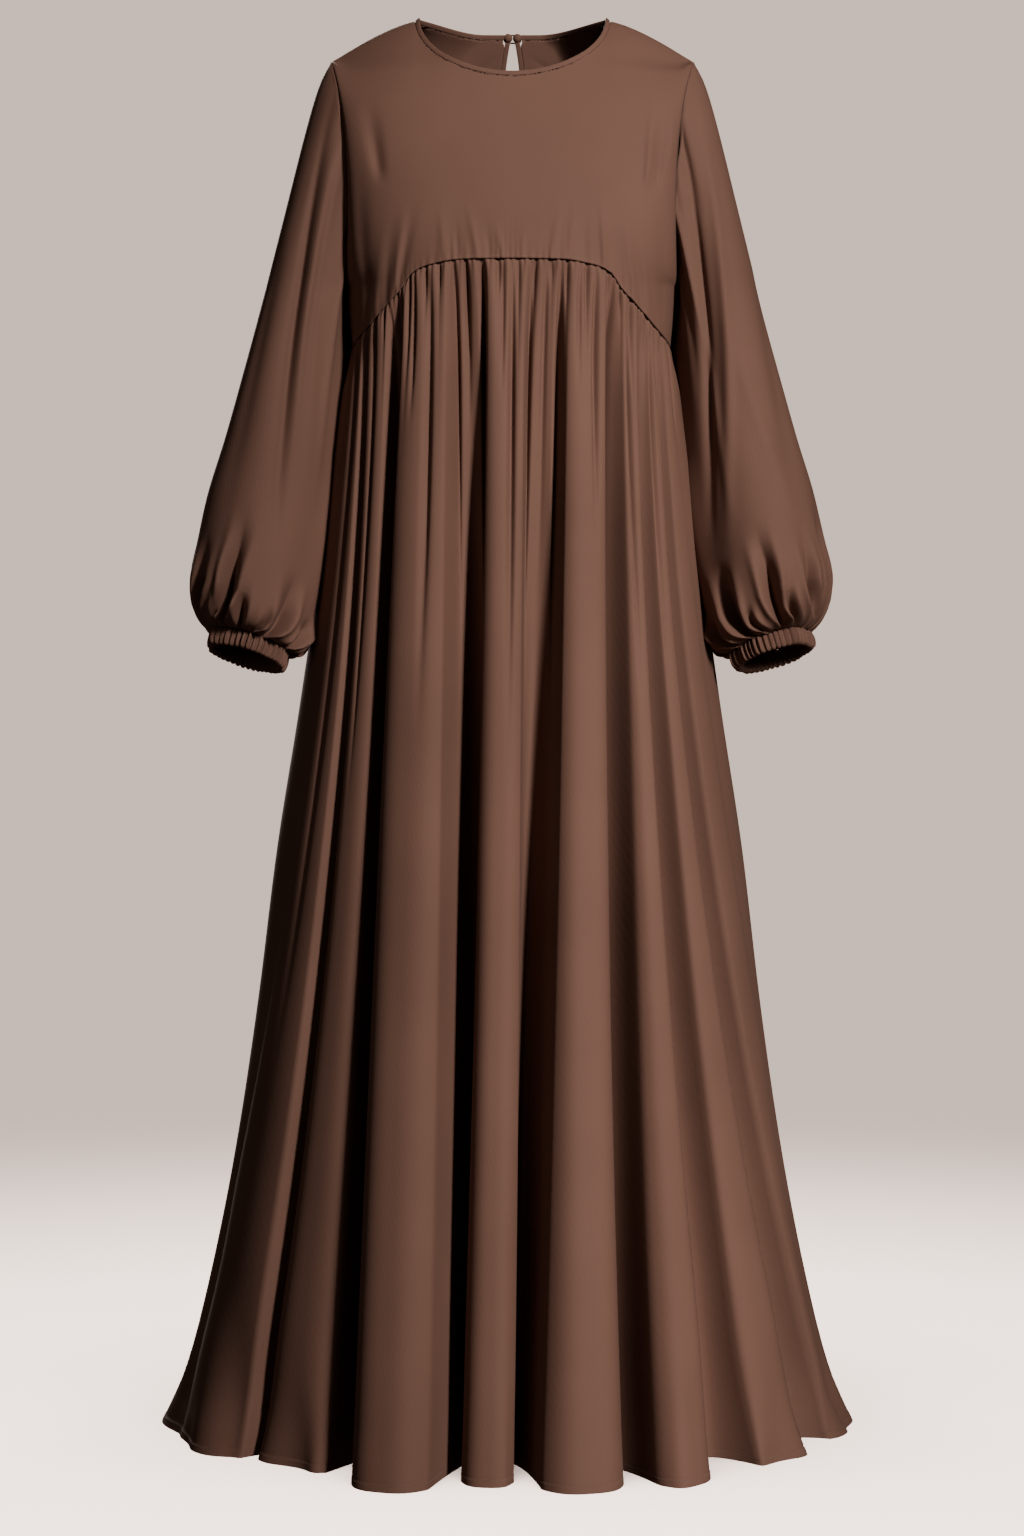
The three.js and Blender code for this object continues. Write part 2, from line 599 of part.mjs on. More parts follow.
function sleevePoint(side, column, row) {
  const turn = 2 * Math.PI * column / SLEEVE_COLUMNS;
  const lipHeight = mix(LIP_INNER_HEIGHT, LIP_OUTER_HEIGHT, Math.cos(turn / 2) ** 2);
  const start = armholeLine(column);
  if (row <= SLEEVE_LONG_ROWS) {
    const down = row / SLEEVE_LONG_ROWS;
    const height = mix(start.z, lipHeight, down);
    const set = start.clone().sub(sleeveRing(turn, start.z)).multiplyScalar((1 - down) ** 3);
    const ring = sleeveRing(turn, height);
    const middle = -(sleeveOuter(height) + sleeveInner(height)) / 2;
    const inwards = new THREE.Vector3(middle - ring.x, -ring.y, 0).normalize();
    return ring.add(set).addScaledVector(inwards, creaseAt(side, turn, height));
  }
  const share = (row - SLEEVE_LONG_ROWS) / SLEEVE_LIP_ROWS;
  const lip = sleeveRing(turn, lipHeight);
  const end = cuffPoint(turn, -SEAM_GAP, CUFF_RADIUS);
  const swell = cuffPoint(turn, LIP_LEVEL - LIP_TILT * Math.cos(turn), CUFF_RADIUS + LIP_SWELL);
  const below = lip.clone();
  below.z -= LIP_DROP;
  const curve = new THREE.CubicBezierCurve3(lip, below, swell, end);
  const point = curve.getPoint(share);
  const radial = cuffPoint(turn, 0, 1).sub(CUFF_CENTRE);
  return point.addScaledVector(radial, SLEEVE_GATHER * share ** 3 * ruche(column));
}

function sleeve(side) {
  const columns = steps(SLEEVE_COLUMNS - 1);
  const grid = steps(SLEEVE_LONG_ROWS + SLEEVE_LIP_ROWS).map((row) => columns.map((column) => {
    const point = sleevePoint(side, column, row);
    point.x *= -side;
    return point;
  }));
  const cuffAxis = new THREE.Vector3(-side * CUFF_FACING.x, CUFF_FACING.y, CUFF_FACING.z);
  const trueEdge = (normal, row) => {
    if (row === 0) normal.x = -side * Math.max(LEAST_NORMAL, -side * normal.x);
    if (row === grid.length - 1) normal.projectOnPlane(cuffAxis);
  };
  return clothWall(grid, { around: true, flip: side > 0, trueEdge });
}

function cuff(side) {
  const columns = steps(SLEEVE_COLUMNS - 1);
  const grid = CUFF_ROWS.map(({ along, swell }) => columns.map((column) => {
    const turn = 2 * Math.PI * column / SLEEVE_COLUMNS;
    const radius = CUFF_RADIUS + swell + RUCHE_HEIGHT * ruche(column);
    const point = cuffPoint(turn, along * CUFF_HEIGHT, radius);
    point.x *= -side;
    return point;
  }));
  const axis = new THREE.Vector3(-side * CUFF_FACING.x, CUFF_FACING.y, CUFF_FACING.z);
  const trueEdge = (normal) => normal.projectOnPlane(axis);
  return clothWall(grid, { thickness: CUFF_THICKNESS, around: true, flip: side > 0, trueEdge });
}

// Keyhole at the centre back
const backNeckTop = NECK_BACK_HEIGHT + BINDING_WIDTH;
const buttonHeight = backNeckTop - BUTTON_DROP;
const slitTop = buttonHeight - BUTTON_RADIUS - SEAM_GAP;
const buttonReach = 2 * BUTTON_RADIUS + 1.5 * SEAM_GAP;

// The slit's half width, and how far it lies under the neck's top line, by the turn of its outline
function keyholeAt(turn) {
  const share = Math.sin(turn);
  return new THREE.Vector2(KEYHOLE_FULLNESS * share ** 0.75 * Math.cos(turn), -share * KEYHOLE_LENGTH);
}

// A short step of turn, either side of which the outline's direction is measured
const TURN_STEP = 0.001;

// The slit's outline grown outwards, from its +X top round its lowest point to its -X top
function keyholeOutline(grow) {
  const first = Math.asin((backNeckTop - slitTop) / KEYHOLE_LENGTH);
  const side = steps(KEYHOLE_STEPS).map((i) => {
    const turn = mix(first, Math.PI / 2, i / KEYHOLE_STEPS);
    const tangent = keyholeAt(turn + TURN_STEP).sub(keyholeAt(turn - TURN_STEP)).normalize();
    const level = i === 0 ? new THREE.Vector2(1, 0) : new THREE.Vector2(-tangent.y, tangent.x);
    const point = keyholeAt(turn).addScaledVector(level, grow);
    return new THREE.Vector2(point.x, point.y + backNeckTop);
  });
  side[side.length - 1].x = 0;
  return [...side, ...side.slice(0, -1).reverse().map(({ x, y }) => new THREE.Vector2(-x, y))];
}

// A point on the back bodice, by its place in the back view
function onBack(x, height, proud = 0) {
  const share = x / SHOULDER_HALF_WIDTH;
  const reach = bodiceReach('back', x, share, Math.min(height, NECK_BACK_HEIGHT));
  return new THREE.Vector3(x, reach + SEAM_GAP / 2 + proud, height);
}

const wasm = await Module();
wasm.setup();

function solid(geometry) {
  geometry.deleteAttribute('normal');
  geometry.deleteAttribute('uv');
  const merged = mergeVertices(geometry, 1e-5);
  return new wasm.Manifold(new wasm.Mesh({
    numProp: 3,
    vertProperties: new Float32Array(merged.getAttribute('position').array),
    triVerts: new Uint32Array(merged.getIndex().array),
  }));
}

function asGeometry(body) {
  const mesh = body.getMesh();
  const geometry = new THREE.BufferGeometry();
  geometry.setAttribute('position', new THREE.BufferAttribute(new Float32Array(mesh.vertProperties), 3));
  geometry.setIndex(new THREE.BufferAttribute(new Uint32Array(mesh.triVerts), 1));
  return geometry;
}

function backBodice() {
  const outline = keyholeOutline(BINDING_WIDTH + SEAM_GAP);
  const above = backNeckTop + BINDING_WIDTH;
  const shape = new THREE.Shape([
    new THREE.Vector2(-buttonReach, above),
    new THREE.Vector2(-buttonReach, slitTop),
    ...outline.reverse(),
    new THREE.Vector2(buttonReach, slitTop),
    new THREE.Vector2(buttonReach, above),
  ]);
  const cutter = new THREE.ExtrudeGeometry(shape, { depth: CUTTER_LENGTH, bevelEnabled: false });
  cutter.rotateX(Math.PI / 2);
  cutter.translate(0, CUTTER_LENGTH, 0);
  return asGeometry(solid(bodicePanel('back')).subtract(solid(cutter)));
}

function keyholeBinding() {
  const row = (grow) => keyholeOutline(grow).map(({ x, y }) => onBack(x, y, BINDING_PROUD));
  const trueEdge = (normal) => normal.set(0, 1, 0);
  return clothWall([row(0), row(BINDING_WIDTH)], { thickness: BINDING_THICKNESS, trueEdge });
}

// The neck binding runs from one button round the front to the other
function neckBinding() {
  const inNeck = bodiceShares.filter((share) => Math.abs(share) <= neckShare);
  const stop = (share) => {
    const x = share * SHOULDER_HALF_WIDTH;
    return Math.abs(x) > buttonReach ? share : Math.sign(share) * buttonReach / SHOULDER_HALF_WIDTH;
  };
  const back = inNeck.map(stop).filter((share) => share !== 0);
  const line = [
    ...back.filter((share) => share > 0).map((share) => ['back', share]),
    ...inNeck.slice(1, -1).reverse().map((share) => ['front', share]),
    ...back.filter((share) => share < 0).map((share) => ['back', share]),
  ];
  const base = line.map(([face, share]) => {
    const point = bodicePoint(face, share, 0);
    if (Math.abs(share) === neckShare) point.y = 0;
    return point;
  });
  const up = line.map(([face, share]) => neckUp(face, share * SHOULDER_HALF_WIDTH));
  const edge = (rise) => base.map((point, k) => {
    const before = base[Math.max(0, k - 1)];
    const after = base[Math.min(base.length - 1, k + 1)];
    const outward = after.clone().sub(before).cross(up[k]).normalize();
    if (outward.dot(new THREE.Vector3(point.x, point.y, 0)) < 0) outward.negate();
    return point.clone().addScaledVector(up[k], rise).addScaledVector(outward, BINDING_PROUD);
  });
  return clothWall([edge(BINDING_WIDTH), edge(SEAM_GAP)], { thickness: BINDING_THICKNESS });
}

function button(side) {
  const ball = new THREE.SphereGeometry(BUTTON_RADIUS, 12, 8);
  const place = onBack(0, NECK_BACK_HEIGHT);
  return ball.translate(side * (BUTTON_RADIUS + SEAM_GAP / 2), place.y, buttonHeight);
}

// A ring of cord drawn out round both buttons, on the outside
function buttonLoop() {
  const ring = new THREE.TorusGeometry(LOOP_RADIUS, LOOP_CORD_RADIUS, 6, 20);
  const position = ring.getAttribute('position');
  for (let k = 0; k < position.count; k += 1) {
    const x = position.getX(k);
    position.setX(k, x + Math.sign(Math.round(x * 1e3)) * BUTTON_RADIUS);
  }
  ring.rotateX(Math.PI / 2);
  return ring.translate(0, onBack(0, NECK_BACK_HEIGHT).y + LOOP_BEHIND, buttonHeight);
}

const garment = new THREE.Group();
garment.position.z = -ORIGIN_HEIGHT;

function add(name, geometry, color = COCOA, roughness = 0.75) {
  const material = new THREE.MeshStandardMaterial({ color, roughness, metalness: 0 });
  const mesh = new THREE.Mesh(lean(geometry), material);
  mesh.name = name;
  garment.add(mesh);
}

add('front_bodice', bodicePanel('front'));
add('back_bodice', backBodice());
add('front_skirt', skirtPanel('front', FRONT_FOLDS));
add('back_skirt', skirtPanel('back', BACK_FOLDS));
add('left_sleeve', sleeve(-1));
add('right_sleeve', sleeve(1));
add('left_cuff', cuff(-1), COCOA_DARK);
add('right_cuff', cuff(1), COCOA_DARK);
add('neck_binding', neckBinding(), COCOA_DARK);
add('keyhole_binding', keyholeBinding(), COCOA_DARK);
add('left_button', button(-1), COCOA_DARK);
add('right_button', button(1), COCOA_DARK);
add('button_loop', buttonLoop(), COCOA_DARK);

export default garment;
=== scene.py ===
import math

import bmesh
import bpy
import numpy as np
from bpy.props import FloatProperty, FloatVectorProperty, IntProperty, PointerProperty
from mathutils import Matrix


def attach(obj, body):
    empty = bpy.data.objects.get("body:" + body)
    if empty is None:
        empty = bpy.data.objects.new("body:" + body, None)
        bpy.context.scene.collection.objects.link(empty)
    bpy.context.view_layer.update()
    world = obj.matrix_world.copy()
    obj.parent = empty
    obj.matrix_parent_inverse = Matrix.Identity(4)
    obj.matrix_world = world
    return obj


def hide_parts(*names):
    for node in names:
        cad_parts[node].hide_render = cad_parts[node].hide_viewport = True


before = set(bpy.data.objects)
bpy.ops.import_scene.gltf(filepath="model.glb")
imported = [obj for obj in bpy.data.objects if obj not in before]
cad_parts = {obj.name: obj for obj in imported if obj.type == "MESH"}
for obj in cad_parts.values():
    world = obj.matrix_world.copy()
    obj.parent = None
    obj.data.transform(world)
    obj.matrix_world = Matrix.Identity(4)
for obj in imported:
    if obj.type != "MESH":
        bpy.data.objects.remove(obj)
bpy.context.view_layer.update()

bl_info = {
    "name": "Hollow Worn Abaya",
    "version": (1, 0, 0),
    "blender": (4, 5, 0),
    "location": "View3D > Sidebar > Abaya",
    "description": "Makes a long-sleeved abaya with a gathered skirt, in its hollow worn form",
    "category": "Add Mesh",
}

# The garment's own sizes are in millimetres, with heights above the hem. X grows to the viewer's
# right, Y to the back. worn() turns them into metres in the frame.
MM = 0.001
ORIGIN_HEIGHT = 1375
LEAN = 0.0037
LEAN_FROM = 700

NECK_HALF_WIDTH = 97
NECK_SIDE_HEIGHT = 1398
NECK_LOW = {"front": 1329, "back": 1396}
SHOULDER_HALF_WIDTH = 181
SHOULDER_TIP_HEIGHT = 1357
SHOULDER_CURVE = 1.35
NAPE_RISE = 30
FRONT_ROUND = 90
NAPE_ROUND = 22
BACK_SHOULDER_ROUND = 75
UNDERARM_HEIGHT = 1130
UNDERARM_HALF_WIDTH = 165
ARMHOLE_DEPTH = 58
ARMHOLE_HOLLOW = 5
ARMHOLE_SOFTNESS = 0.16
SEAM_SIDE_HEIGHT = 1070
SEAM_HALF_WIDTH = 159
SECTION_POWER = 2.4
ARMHOLE_PART = 10 / 12
FACING = {"front": -1, "back": 1}
SIDES = {"left": -1, "right": 1}
SEAM_GAP = 0.3
PUCKER_DEPTH = 0.55
PUCKER_SPACING = 6.4
GATHER_DEPTH = 3.8
TICK_DEPTH = 1.8
SEAM_BEAD = 0.5
SEAM_TUCK = 0.5
SKIRT_LENGTH = 1130
HEM_FOLD_HEIGHT = 7.2
HEM_STITCH_HEIGHT = 6.0

BINDING_WIDTH = 5.2
KEYHOLE_LENGTH = 92
KEYHOLE_FULLNESS = 15.4
BUTTON_RADIUS = 4.6
BACK_NECK_TOP = 1401
BUTTON_HEIGHT = 1398
BUTTON_REACH = 9.65
BUTTON_OVERLAP = 2.2
SLIT_MOUTH_HEIGHT = 1390
NECK_BINDING_THICKNESS = 2.3
KEYHOLE_BINDING_WIDTH = 5.0
KEYHOLE_BINDING_THICKNESS = 2.2
KEYHOLE_ROOM = 46
CORD_RADIUS = 0.8
CORD_BEND = 4.0
CORD_BEHIND = 3.9

LIP_OUTER_HEIGHT = 844
LIP_INNER_HEIGHT = 802
LIP_DROP = 30
LIP_SWELL = 17
LIP_LEVEL = 2
LIP_TILT = 3
LIP_PART = 0.74
BALLOON_FULLNESS = 2.6
BALLOON_SHARPNESS = 0.68
SLEEVE_FORWARD = 28
CUFF_CENTRE = np.array([-257.0, -32.0, 776.0])
CUFF_FACING = np.array([-0.27, -0.24, -0.93]) / np.linalg.norm([-0.27, -0.24, -0.93])
CUFF_RUCHE_DEPTH = 6.0
LIP_GATHERS = 24
LIP_GATHER_DEPTH = 5.2
CAP_EASE = 1.1
CUFF_RADIUS = 36.5
CUFF_HEIGHT = 17

# Sewing, weave and studio, in metres
STITCH_LENGTH = 0.0026
STITCH_GAP = 0.0007
STITCH_WIDTH = 0.00042
STITCH_HEIGHT = 0.00034
STITCH_RISE = 0.00006
STITCHES_PATH = 2400
WEAVE_RELIEF = 0.00012
MERGE_DISTANCE = 2e-6
FLOOR_RADIUS = 3.2
FLOOR_FADE = 0.8
CAMERA_X = 0.002
VIEW_END = 60

# Rows of faces
NECK_ROWS = 480
KEYHOLE_ROWS = 240


def table(names, *rows):
    """A short table as named columns"""
    return dict(zip(names.split(), np.array(rows, float).T))


BODICE_SECTIONS = table(
    "height front back",
    (1060, 121, 108), (1141, 119, 109), (1170, 117, 110), (1200, 112, 110), (1250, 98, 106),
    (1300, 80, 99), (1329, 67.5, 92.5), (1350, 61, 86), (1375, 53, 76), (1400, 45, 66),
)
SEAM_LINE = table(
    "share height",
    (0, 1141.5), (0.3, 1141), (0.5, 1136.5), (0.6, 1130), (0.68, 1114), (0.77, 1101),
    (0.87, 1086), (1, 1070),
)
SKIRT_SECTIONS = table(
    "height half_width front back middle power",
    (0, 345, 303, 292, 4, 1.6), (50, 323, 288, 279, 5, 1.65), (120, 304, 272, 264, 7, 1.75),
    (270, 274, 246, 238, 12, 1.9), (420, 252, 222, 214, 17, 2), (570, 234, 201, 192, 21, 2.1),
    (720, 211, 178, 171, 23, 2.15), (830, 196, 162, 155, 24, 2.2), (920, 187, 150, 142, 22, 2.3),
    (1020, 172, 135, 125, 13, 2.35), (1071, 159, 127, 116, 0, 2.4), (1142, 162, 119, 109, 0, 2.4),
)
SLEEVE_SECTIONS = table(
    "height outer inner depth",
    (800, 317, 202, 71), (840, 317, 198.5, 72), (880, 310, 192, 70), (920, 302, 184.5, 67),
    (980, 284.5, 177, 62), (1040, 268.5, 172, 60), (1100, 253, 168.5, 59), (1160, 238, 165.5, 58),
    (1220, 223, 165, 57), (1280, 208, 165, 52), (1320, 197, 165, 44), (1340, 190, 165, 34),
    (1357, 181, 165, 20),
)

# Each large fold of the skirt: where its left and right edges run at the seam, half-way and at the
# hem, how far its front lies forward and is crowned at the hem, and how deep the valley to its
# right is there
FRONT_FOLDS = (
    ((-156, -219, -333), (-146, -186, -263), -8, 6, 22),
    ((-139, -177, -253), (-122, -147, -178), -24, 10, 82),
    ((-103, -124, -142), (-64, -65, -71), 0, 24, 72),
    ((-23, -32, -52), (12, 11, 10), -42, 24, 60),
    ((56, 47, 33), (92, 95, 110), -10, 26, 50),
    ((108, 117, 135), (122, 141, 188), 6, 20, 40),
    ((134, 167, 239), (143, 186, 288), -4, 8, 34),
    ((149, 206, 324), (155, 226, 340), -6, 4, 0),
)
BACK_FOLDS = (
    ((-155, -218, -335), (-143, -184, -270), 0, 8, 30),
    ((-132, -160, -232), (-112, -138, -176), -6, 14, 52),
    ((-96, -112, -136), (-62, -70, -80), -4, 22, 70),
    ((-40, -44, -50), (-8, -6, 4), -24, 24, 66),
    ((16, 22, 34), (50, 58, 84), -10, 22, 62),
    ((74, 88, 116), (100, 122, 168), -2, 18, 48),
    ((120, 148, 212), (134, 172, 258), -4, 12, 32),
    ((146, 206, 306), (155, 222, 337), 0, 6, 0),
)
VALLEY_PINCH = 1.1
VALLEY_FULLNESS = 1.4
EDGE_SPACING = 0.014

# The deeper tucks that hang from the gathers: where each starts on the seam, half its width there,
# its depth, how far down it is deepest and where it has faded, as shares of the skirt's length
FRONT_TUCKS = table(
    "x width depth deepest end",
    (-151, 3, 5, 0.10, 0.7), (-142.5, 3, 6, 0.12, 0.6), (-132.5, 3, 6, 0.10, 0.45),
    (-119, 3.6, 8, 0.12, 0.6), (-108, 3, 7, 0.08, 0.3), (-94, 3, 4, 0.05, 0.14),
    (-79, 4.6, 6, 0.14, 0.42), (-55, 4.4, 10, 0.12, 0.5), (-44, 3, 3, 0.05, 0.16),
    (-28, 4, 12, 0.10, 0.5), (-8, 3, 3, 0.05, 0.13), (1, 4, 7, 0.12, 0.45),
    (20, 4, 10, 0.10, 0.5), (34, 3, 4, 0.06, 0.3), (48, 4.4, 12, 0.12, 0.55),
    (66, 3, 3, 0.04, 0.12), (82, 3.6, 6, 0.08, 0.26), (100, 4, 9, 0.10, 0.5),
    (113, 3, 6, 0.10, 0.4), (127, 3.4, 8, 0.12, 0.6), (136, 3, 5, 0.08, 0.4),
    (146, 3, 6, 0.12, 0.6),
)
BACK_TUCKS = table(
    "x width depth deepest end",
    (-149, 3, 5, 0.10, 0.6), (-138, 3.4, 7, 0.12, 0.5), (-122, 3, 4, 0.06, 0.3),
    (-106, 4, 9, 0.12, 0.5), (-84, 3.4, 5, 0.10, 0.34), (-70, 3, 3, 0.05, 0.15),
    (-52, 4.6, 11, 0.12, 0.5), (-34, 3, 4, 0.06, 0.2), (-22, 3.6, 5, 0.12, 0.4),
    (3, 4.6, 12, 0.10, 0.55), (24, 3, 3, 0.05, 0.14), (35, 4, 6, 0.12, 0.4),
    (60, 4.4, 11, 0.12, 0.5), (80, 3, 4, 0.06, 0.24), (90, 3.4, 5, 0.10, 0.36),
    (108, 4, 9, 0.12, 0.5), (126, 3.2, 6, 0.10, 0.4), (138, 3, 6, 0.10, 0.5),
    (150, 3, 5, 0.12, 0.6),
)
GATHERS = 29
TICKS = 78
TUCK_FULLNESS = 1.5

# Soft ridges (+) and troughs (-) of the bodice, from one point of its front view to another
FRONT_CREASES = table(
    "x0 h0 x1 h1 width depth",
    (-69, 1204, -65, 1140, 3.4, 1.3), (-44, 1206, -32, 1140, 3.4, 1.5),
    (-16, 1184, -8, 1140, 3, 1.2), (12, 1176, 9, 1140, 2.6, 0.9), (48, 1206, 38, 1140, 3.4, 1.3),
    (62, 1208, 54, 1140, 3, 1.1), (86, 1216, 90, 1136, 3.2, 2.2),
    (107, 1210, 121, 1094, 3.4, 2.4), (123, 1196, 135, 1090, 3.2, 1.8),
    (-93, 1210, -107, 1126, 4.6, -2.2), (-112, 1204, -124, 1100, 4.2, -2),
    (-102, 1200, -114, 1116, 3, 1.3), (-124, 1184, -134, 1096, 3.6, 1.4),
    (-136, 1176, -144, 1086, 3, -1.3), (-56, 1190, -50, 1140, 3, -1),
    (-26, 1186, -20, 1140, 3, -1.1), (98, 1196, 106, 1118, 3.4, -1.6),
    (116, 1180, 127, 1096, 3, -1.3), (70, 1196, 70, 1140, 3.4, -1.2),
    (-143, 1318, -129, 1232, 7, -4.2), (-150, 1260, -143, 1130, 6, -2.4),
    (140, 1322, 131, 1222, 4, 2.6), (150, 1318, 142, 1226, 5, -3),
    (160, 1320, 155, 1246, 2.6, 1.6), (146, 1220, 148, 1100, 5, -2),
)
BACK_CREASES = table(
    "x0 h0 x1 h1 width depth",
    (-80, 1204, -70, 1140, 3.6, 1.4), (-52, 1190, -46, 1140, 3.2, 1.1),
    (-20, 1200, -16, 1140, 3.4, 1.3), (14, 1182, 11, 1140, 3, 1), (44, 1206, 37, 1140, 3.4, 1.4),
    (72, 1196, 65, 1140, 3.2, 1.2), (98, 1212, 108, 1118, 3.6, 2),
    (-100, 1208, -112, 1116, 3.8, -1.8), (122, 1196, 134, 1090, 3.4, 1.6),
    (-128, 1190, -138, 1090, 3.4, 1.5), (-140, 1310, -130, 1226, 6, -3.2),
    (142, 1312, 133, 1224, 5, 2.4), (12, 1385, 62, 1352, 4, 1.4), (-12, 1385, -60, 1350, 4, 1.3),
    (10, 1372, 44, 1322, 4, -1.1),
)

# The long creases of each sleeve: side, heights, turns from the outer line to the front at both
# ends, depth of the trough and half its width in turn
SLEEVE_FOLDS = table(
    "side top low start end depth spread",
    (-1, 1310, 850, 0.8, 2.05, 7, 0.3), (-1, 1330, 960, 1.25, 2.5, 5, 0.25),
    (-1, 1320, 870, 5.3, 4.5, 6, 0.3), (1, 1320, 880, 1.1, 2.55, 7, 0.3),
    (1, 1150, 850, 0.2, 1.1, 5, 0.3), (1, 1310, 900, 5.1, 4.3, 6, 0.3),
)
# Finer ones, with ridges as negative depths, and side 0 for both sleeves
SLEEVE_CREASES = table(
    "side top low start end depth spread",
    (-1, 1345, 1180, 1.9, 2.35, 3.2, 0.14), (-1, 1345, 900, 2.2, 2.6, -2.6, 0.1),
    (-1, 1300, 860, 1.35, 2.25, 3.4, 0.12), (-1, 1180, 880, 0.55, 1.05, 1.8, 0.16),
    (-1, 1345, 1240, 1.1, 1.2, 1.8, 0.13), (-1, 1320, 1100, 2.65, 2.75, 3, 0.12),
    (-1, 1340, 1150, 5.0, 4.7, 3, 0.16), (-1, 1280, 880, 4.3, 4.0, -2.4, 0.12),
    (-1, 1240, 900, 5.5, 5.1, 2.6, 0.2), (-1, 1320, 850, 0.78, 2.05, 6, 0.1),
    (-1, 1320, 850, 1.02, 2.3, -3.5, 0.12), (1, 1345, 890, 1.9, 2.15, -3.2, 0.1),
    (1, 1345, 1010, 2.2, 2.42, 4, 0.13), (1, 1340, 1190, 1.3, 1.45, 2.2, 0.12),
    (1, 1330, 1080, 2.65, 2.8, 3, 0.12), (1, 1100, 870, 1.5, 1.05, -1.8, 0.16),
    (1, 1340, 1160, 4.9, 4.75, 3, 0.16), (1, 1270, 890, 4.2, 4.1, -2.4, 0.12),
    (1, 1250, 880, 5.6, 5.2, 2.4, 0.2), (1, 1330, 870, 1.12, 2.7, 7, 0.11),
    (1, 1300, 860, 0.66, 2.36, -4, 0.11), (0, 1225, 955, 3.62, 3.5, -12, 0.33),
    (0, 1110, 790, 3.2, 3.2, -8, 0.34), (0, 960, 740, 3.2, 3.2, -10, 0.4),
)
# The creases of the balloon into the cuff: side, where each starts, as a share of the sleeve's
# length, its turn there and at the cuff, its depth, and half its width in turn
BALLOON_CREASES = table(
    "side start turn_in turn_out depth spread",
    (-1, 0.61, 1.42, 0.98, 9, 0.13), (-1, 0.67, 0.72, 0.30, 8, 0.14),
    (-1, 0.71, 1.56, 1.40, 6, 0.10), (-1, 0.65, 2.50, 1.92, 8, 0.16),
    (-1, 0.73, 2.95, 2.55, 6, 0.14), (-1, 0.74, 1.12, 0.72, 4, 0.08),
    (-1, 0.75, 2.05, 1.66, 4, 0.09), (-1, 0.71, 3.35, 3.15, 7, 0.15),
    (-1, 0.67, 3.90, 3.80, 7, 0.15), (-1, 0.71, 4.40, 4.45, 6, 0.13),
    (-1, 0.65, 4.85, 5.00, 8, 0.14), (-1, 0.71, 5.35, 5.55, 6, 0.12),
    (-1, 0.67, 5.95, 5.98, 7, 0.13), (-1, 0.75, 5.65, 5.80, 4, 0.08),
    (-1, 0.75, 4.15, 4.12, 4, 0.08), (1, 0.61, 1.78, 1.32, 9, 0.13),
    (1, 0.63, 2.62, 1.95, 9, 0.16), (1, 0.71, 1.42, 1.02, 6, 0.10),
    (1, 0.65, 0.98, 0.62, 7, 0.12), (1, 0.63, 0.42, 0.22, 6, 0.12),
    (1, 0.73, 2.15, 1.68, 5, 0.09), (1, 0.73, 3.00, 2.48, 6, 0.13),
    (1, 0.71, 3.40, 3.10, 7, 0.15), (1, 0.67, 3.92, 3.78, 7, 0.15),
    (1, 0.71, 4.42, 4.40, 6, 0.13), (1, 0.65, 4.90, 4.98, 8, 0.14),
    (1, 0.71, 5.38, 5.50, 6, 0.12), (1, 0.67, 5.92, 5.95, 7, 0.13),
    (1, 0.75, 5.62, 5.74, 4, 0.08), (1, 0.75, 0.72, 0.44, 4, 0.07),
)


# Where the hem lifts or swings out: x in the front view, half width, reach up from the hem, and how
# far it moves out
FRONT_HEM = table(
    "x width tall out",
    (-318, 16, 60, -7), (-286, 14, 90, 4), (-262, 12, 120, -8), (-205, 26, 70, -9),
    (-176, 12, 90, 6), (-300, 9, 40, 3), (152, 14, 120, 5), (196, 20, 110, -9), (226, 16, 90, 5),
    (262, 20, 90, -8), (292, 12, 80, 4), (318, 12, 60, -6),
)
BACK_HEM = table(
    "x width tall out",
    (-316, 16, 60, -6), (-282, 14, 90, 4), (-246, 18, 110, -8), (-200, 16, 90, 5),
    (140, 14, 110, 5), (190, 20, 100, -8), (232, 16, 90, 5), (270, 18, 90, -7), (312, 12, 60, -5),
)
# Folds, tucks, hem and the seed of the gathers of each panel
SKIRT_PARTS = {
    "front": (FRONT_FOLDS, FRONT_TUCKS, FRONT_HEM, 0.4),
    "back": (BACK_FOLDS, BACK_TUCKS, BACK_HEM, 1.9),
}


class AbayaCloth(bpy.types.PropertyGroup):
    """The abaya's cloth"""

    wall: FloatProperty(name="Cloth thickness", description="How thick the cloth is",
                        default=0.0011, min=0.0005, max=0.002, unit="LENGTH")
    colour: FloatVectorProperty(name="Cocoa", description="Colour of the crepe", subtype="COLOR",
                                default=(0.174, 0.088, 0.062), min=0, max=1)
    shade: FloatVectorProperty(name="Deeper cocoa", description="Colour where the crepe varies",
                               subtype="COLOR", default=(0.152, 0.076, 0.053), min=0, max=1)
    roughness: FloatProperty(name="Roughness", description="How matte the crepe is", default=0.78,
                             min=0, max=1, subtype="FACTOR")
    sheen: FloatProperty(name="Sheen", description="Soft light along the folds' edges",
                         default=0.04, min=0, max=1, subtype="FACTOR")
    weave: FloatProperty(name="Weave", description="Distance between two threads", default=0.0006,
                         min=0.0002, max=0.002, unit="LENGTH")
    thread: FloatVectorProperty(name="Thread", description="Colour of the sewing thread",
                                subtype="COLOR", default=(0.10, 0.052, 0.038), min=0, max=1)


class AbayaFineness(bpy.types.PropertyGroup):
    """How finely the abaya is made"""

    skirt_columns: IntProperty(name="Skirt columns", description="Faces across a skirt panel",
                               default=500, min=88, max=640)
    sleeve_columns: IntProperty(name="Sleeve columns", description="Faces round a sleeve",
                                default=240, min=40, max=400)
    cuff_ruches: IntProperty(name="Cuff ruches", description="Ruches round each cuff", default=43,
                             min=10, max=60)


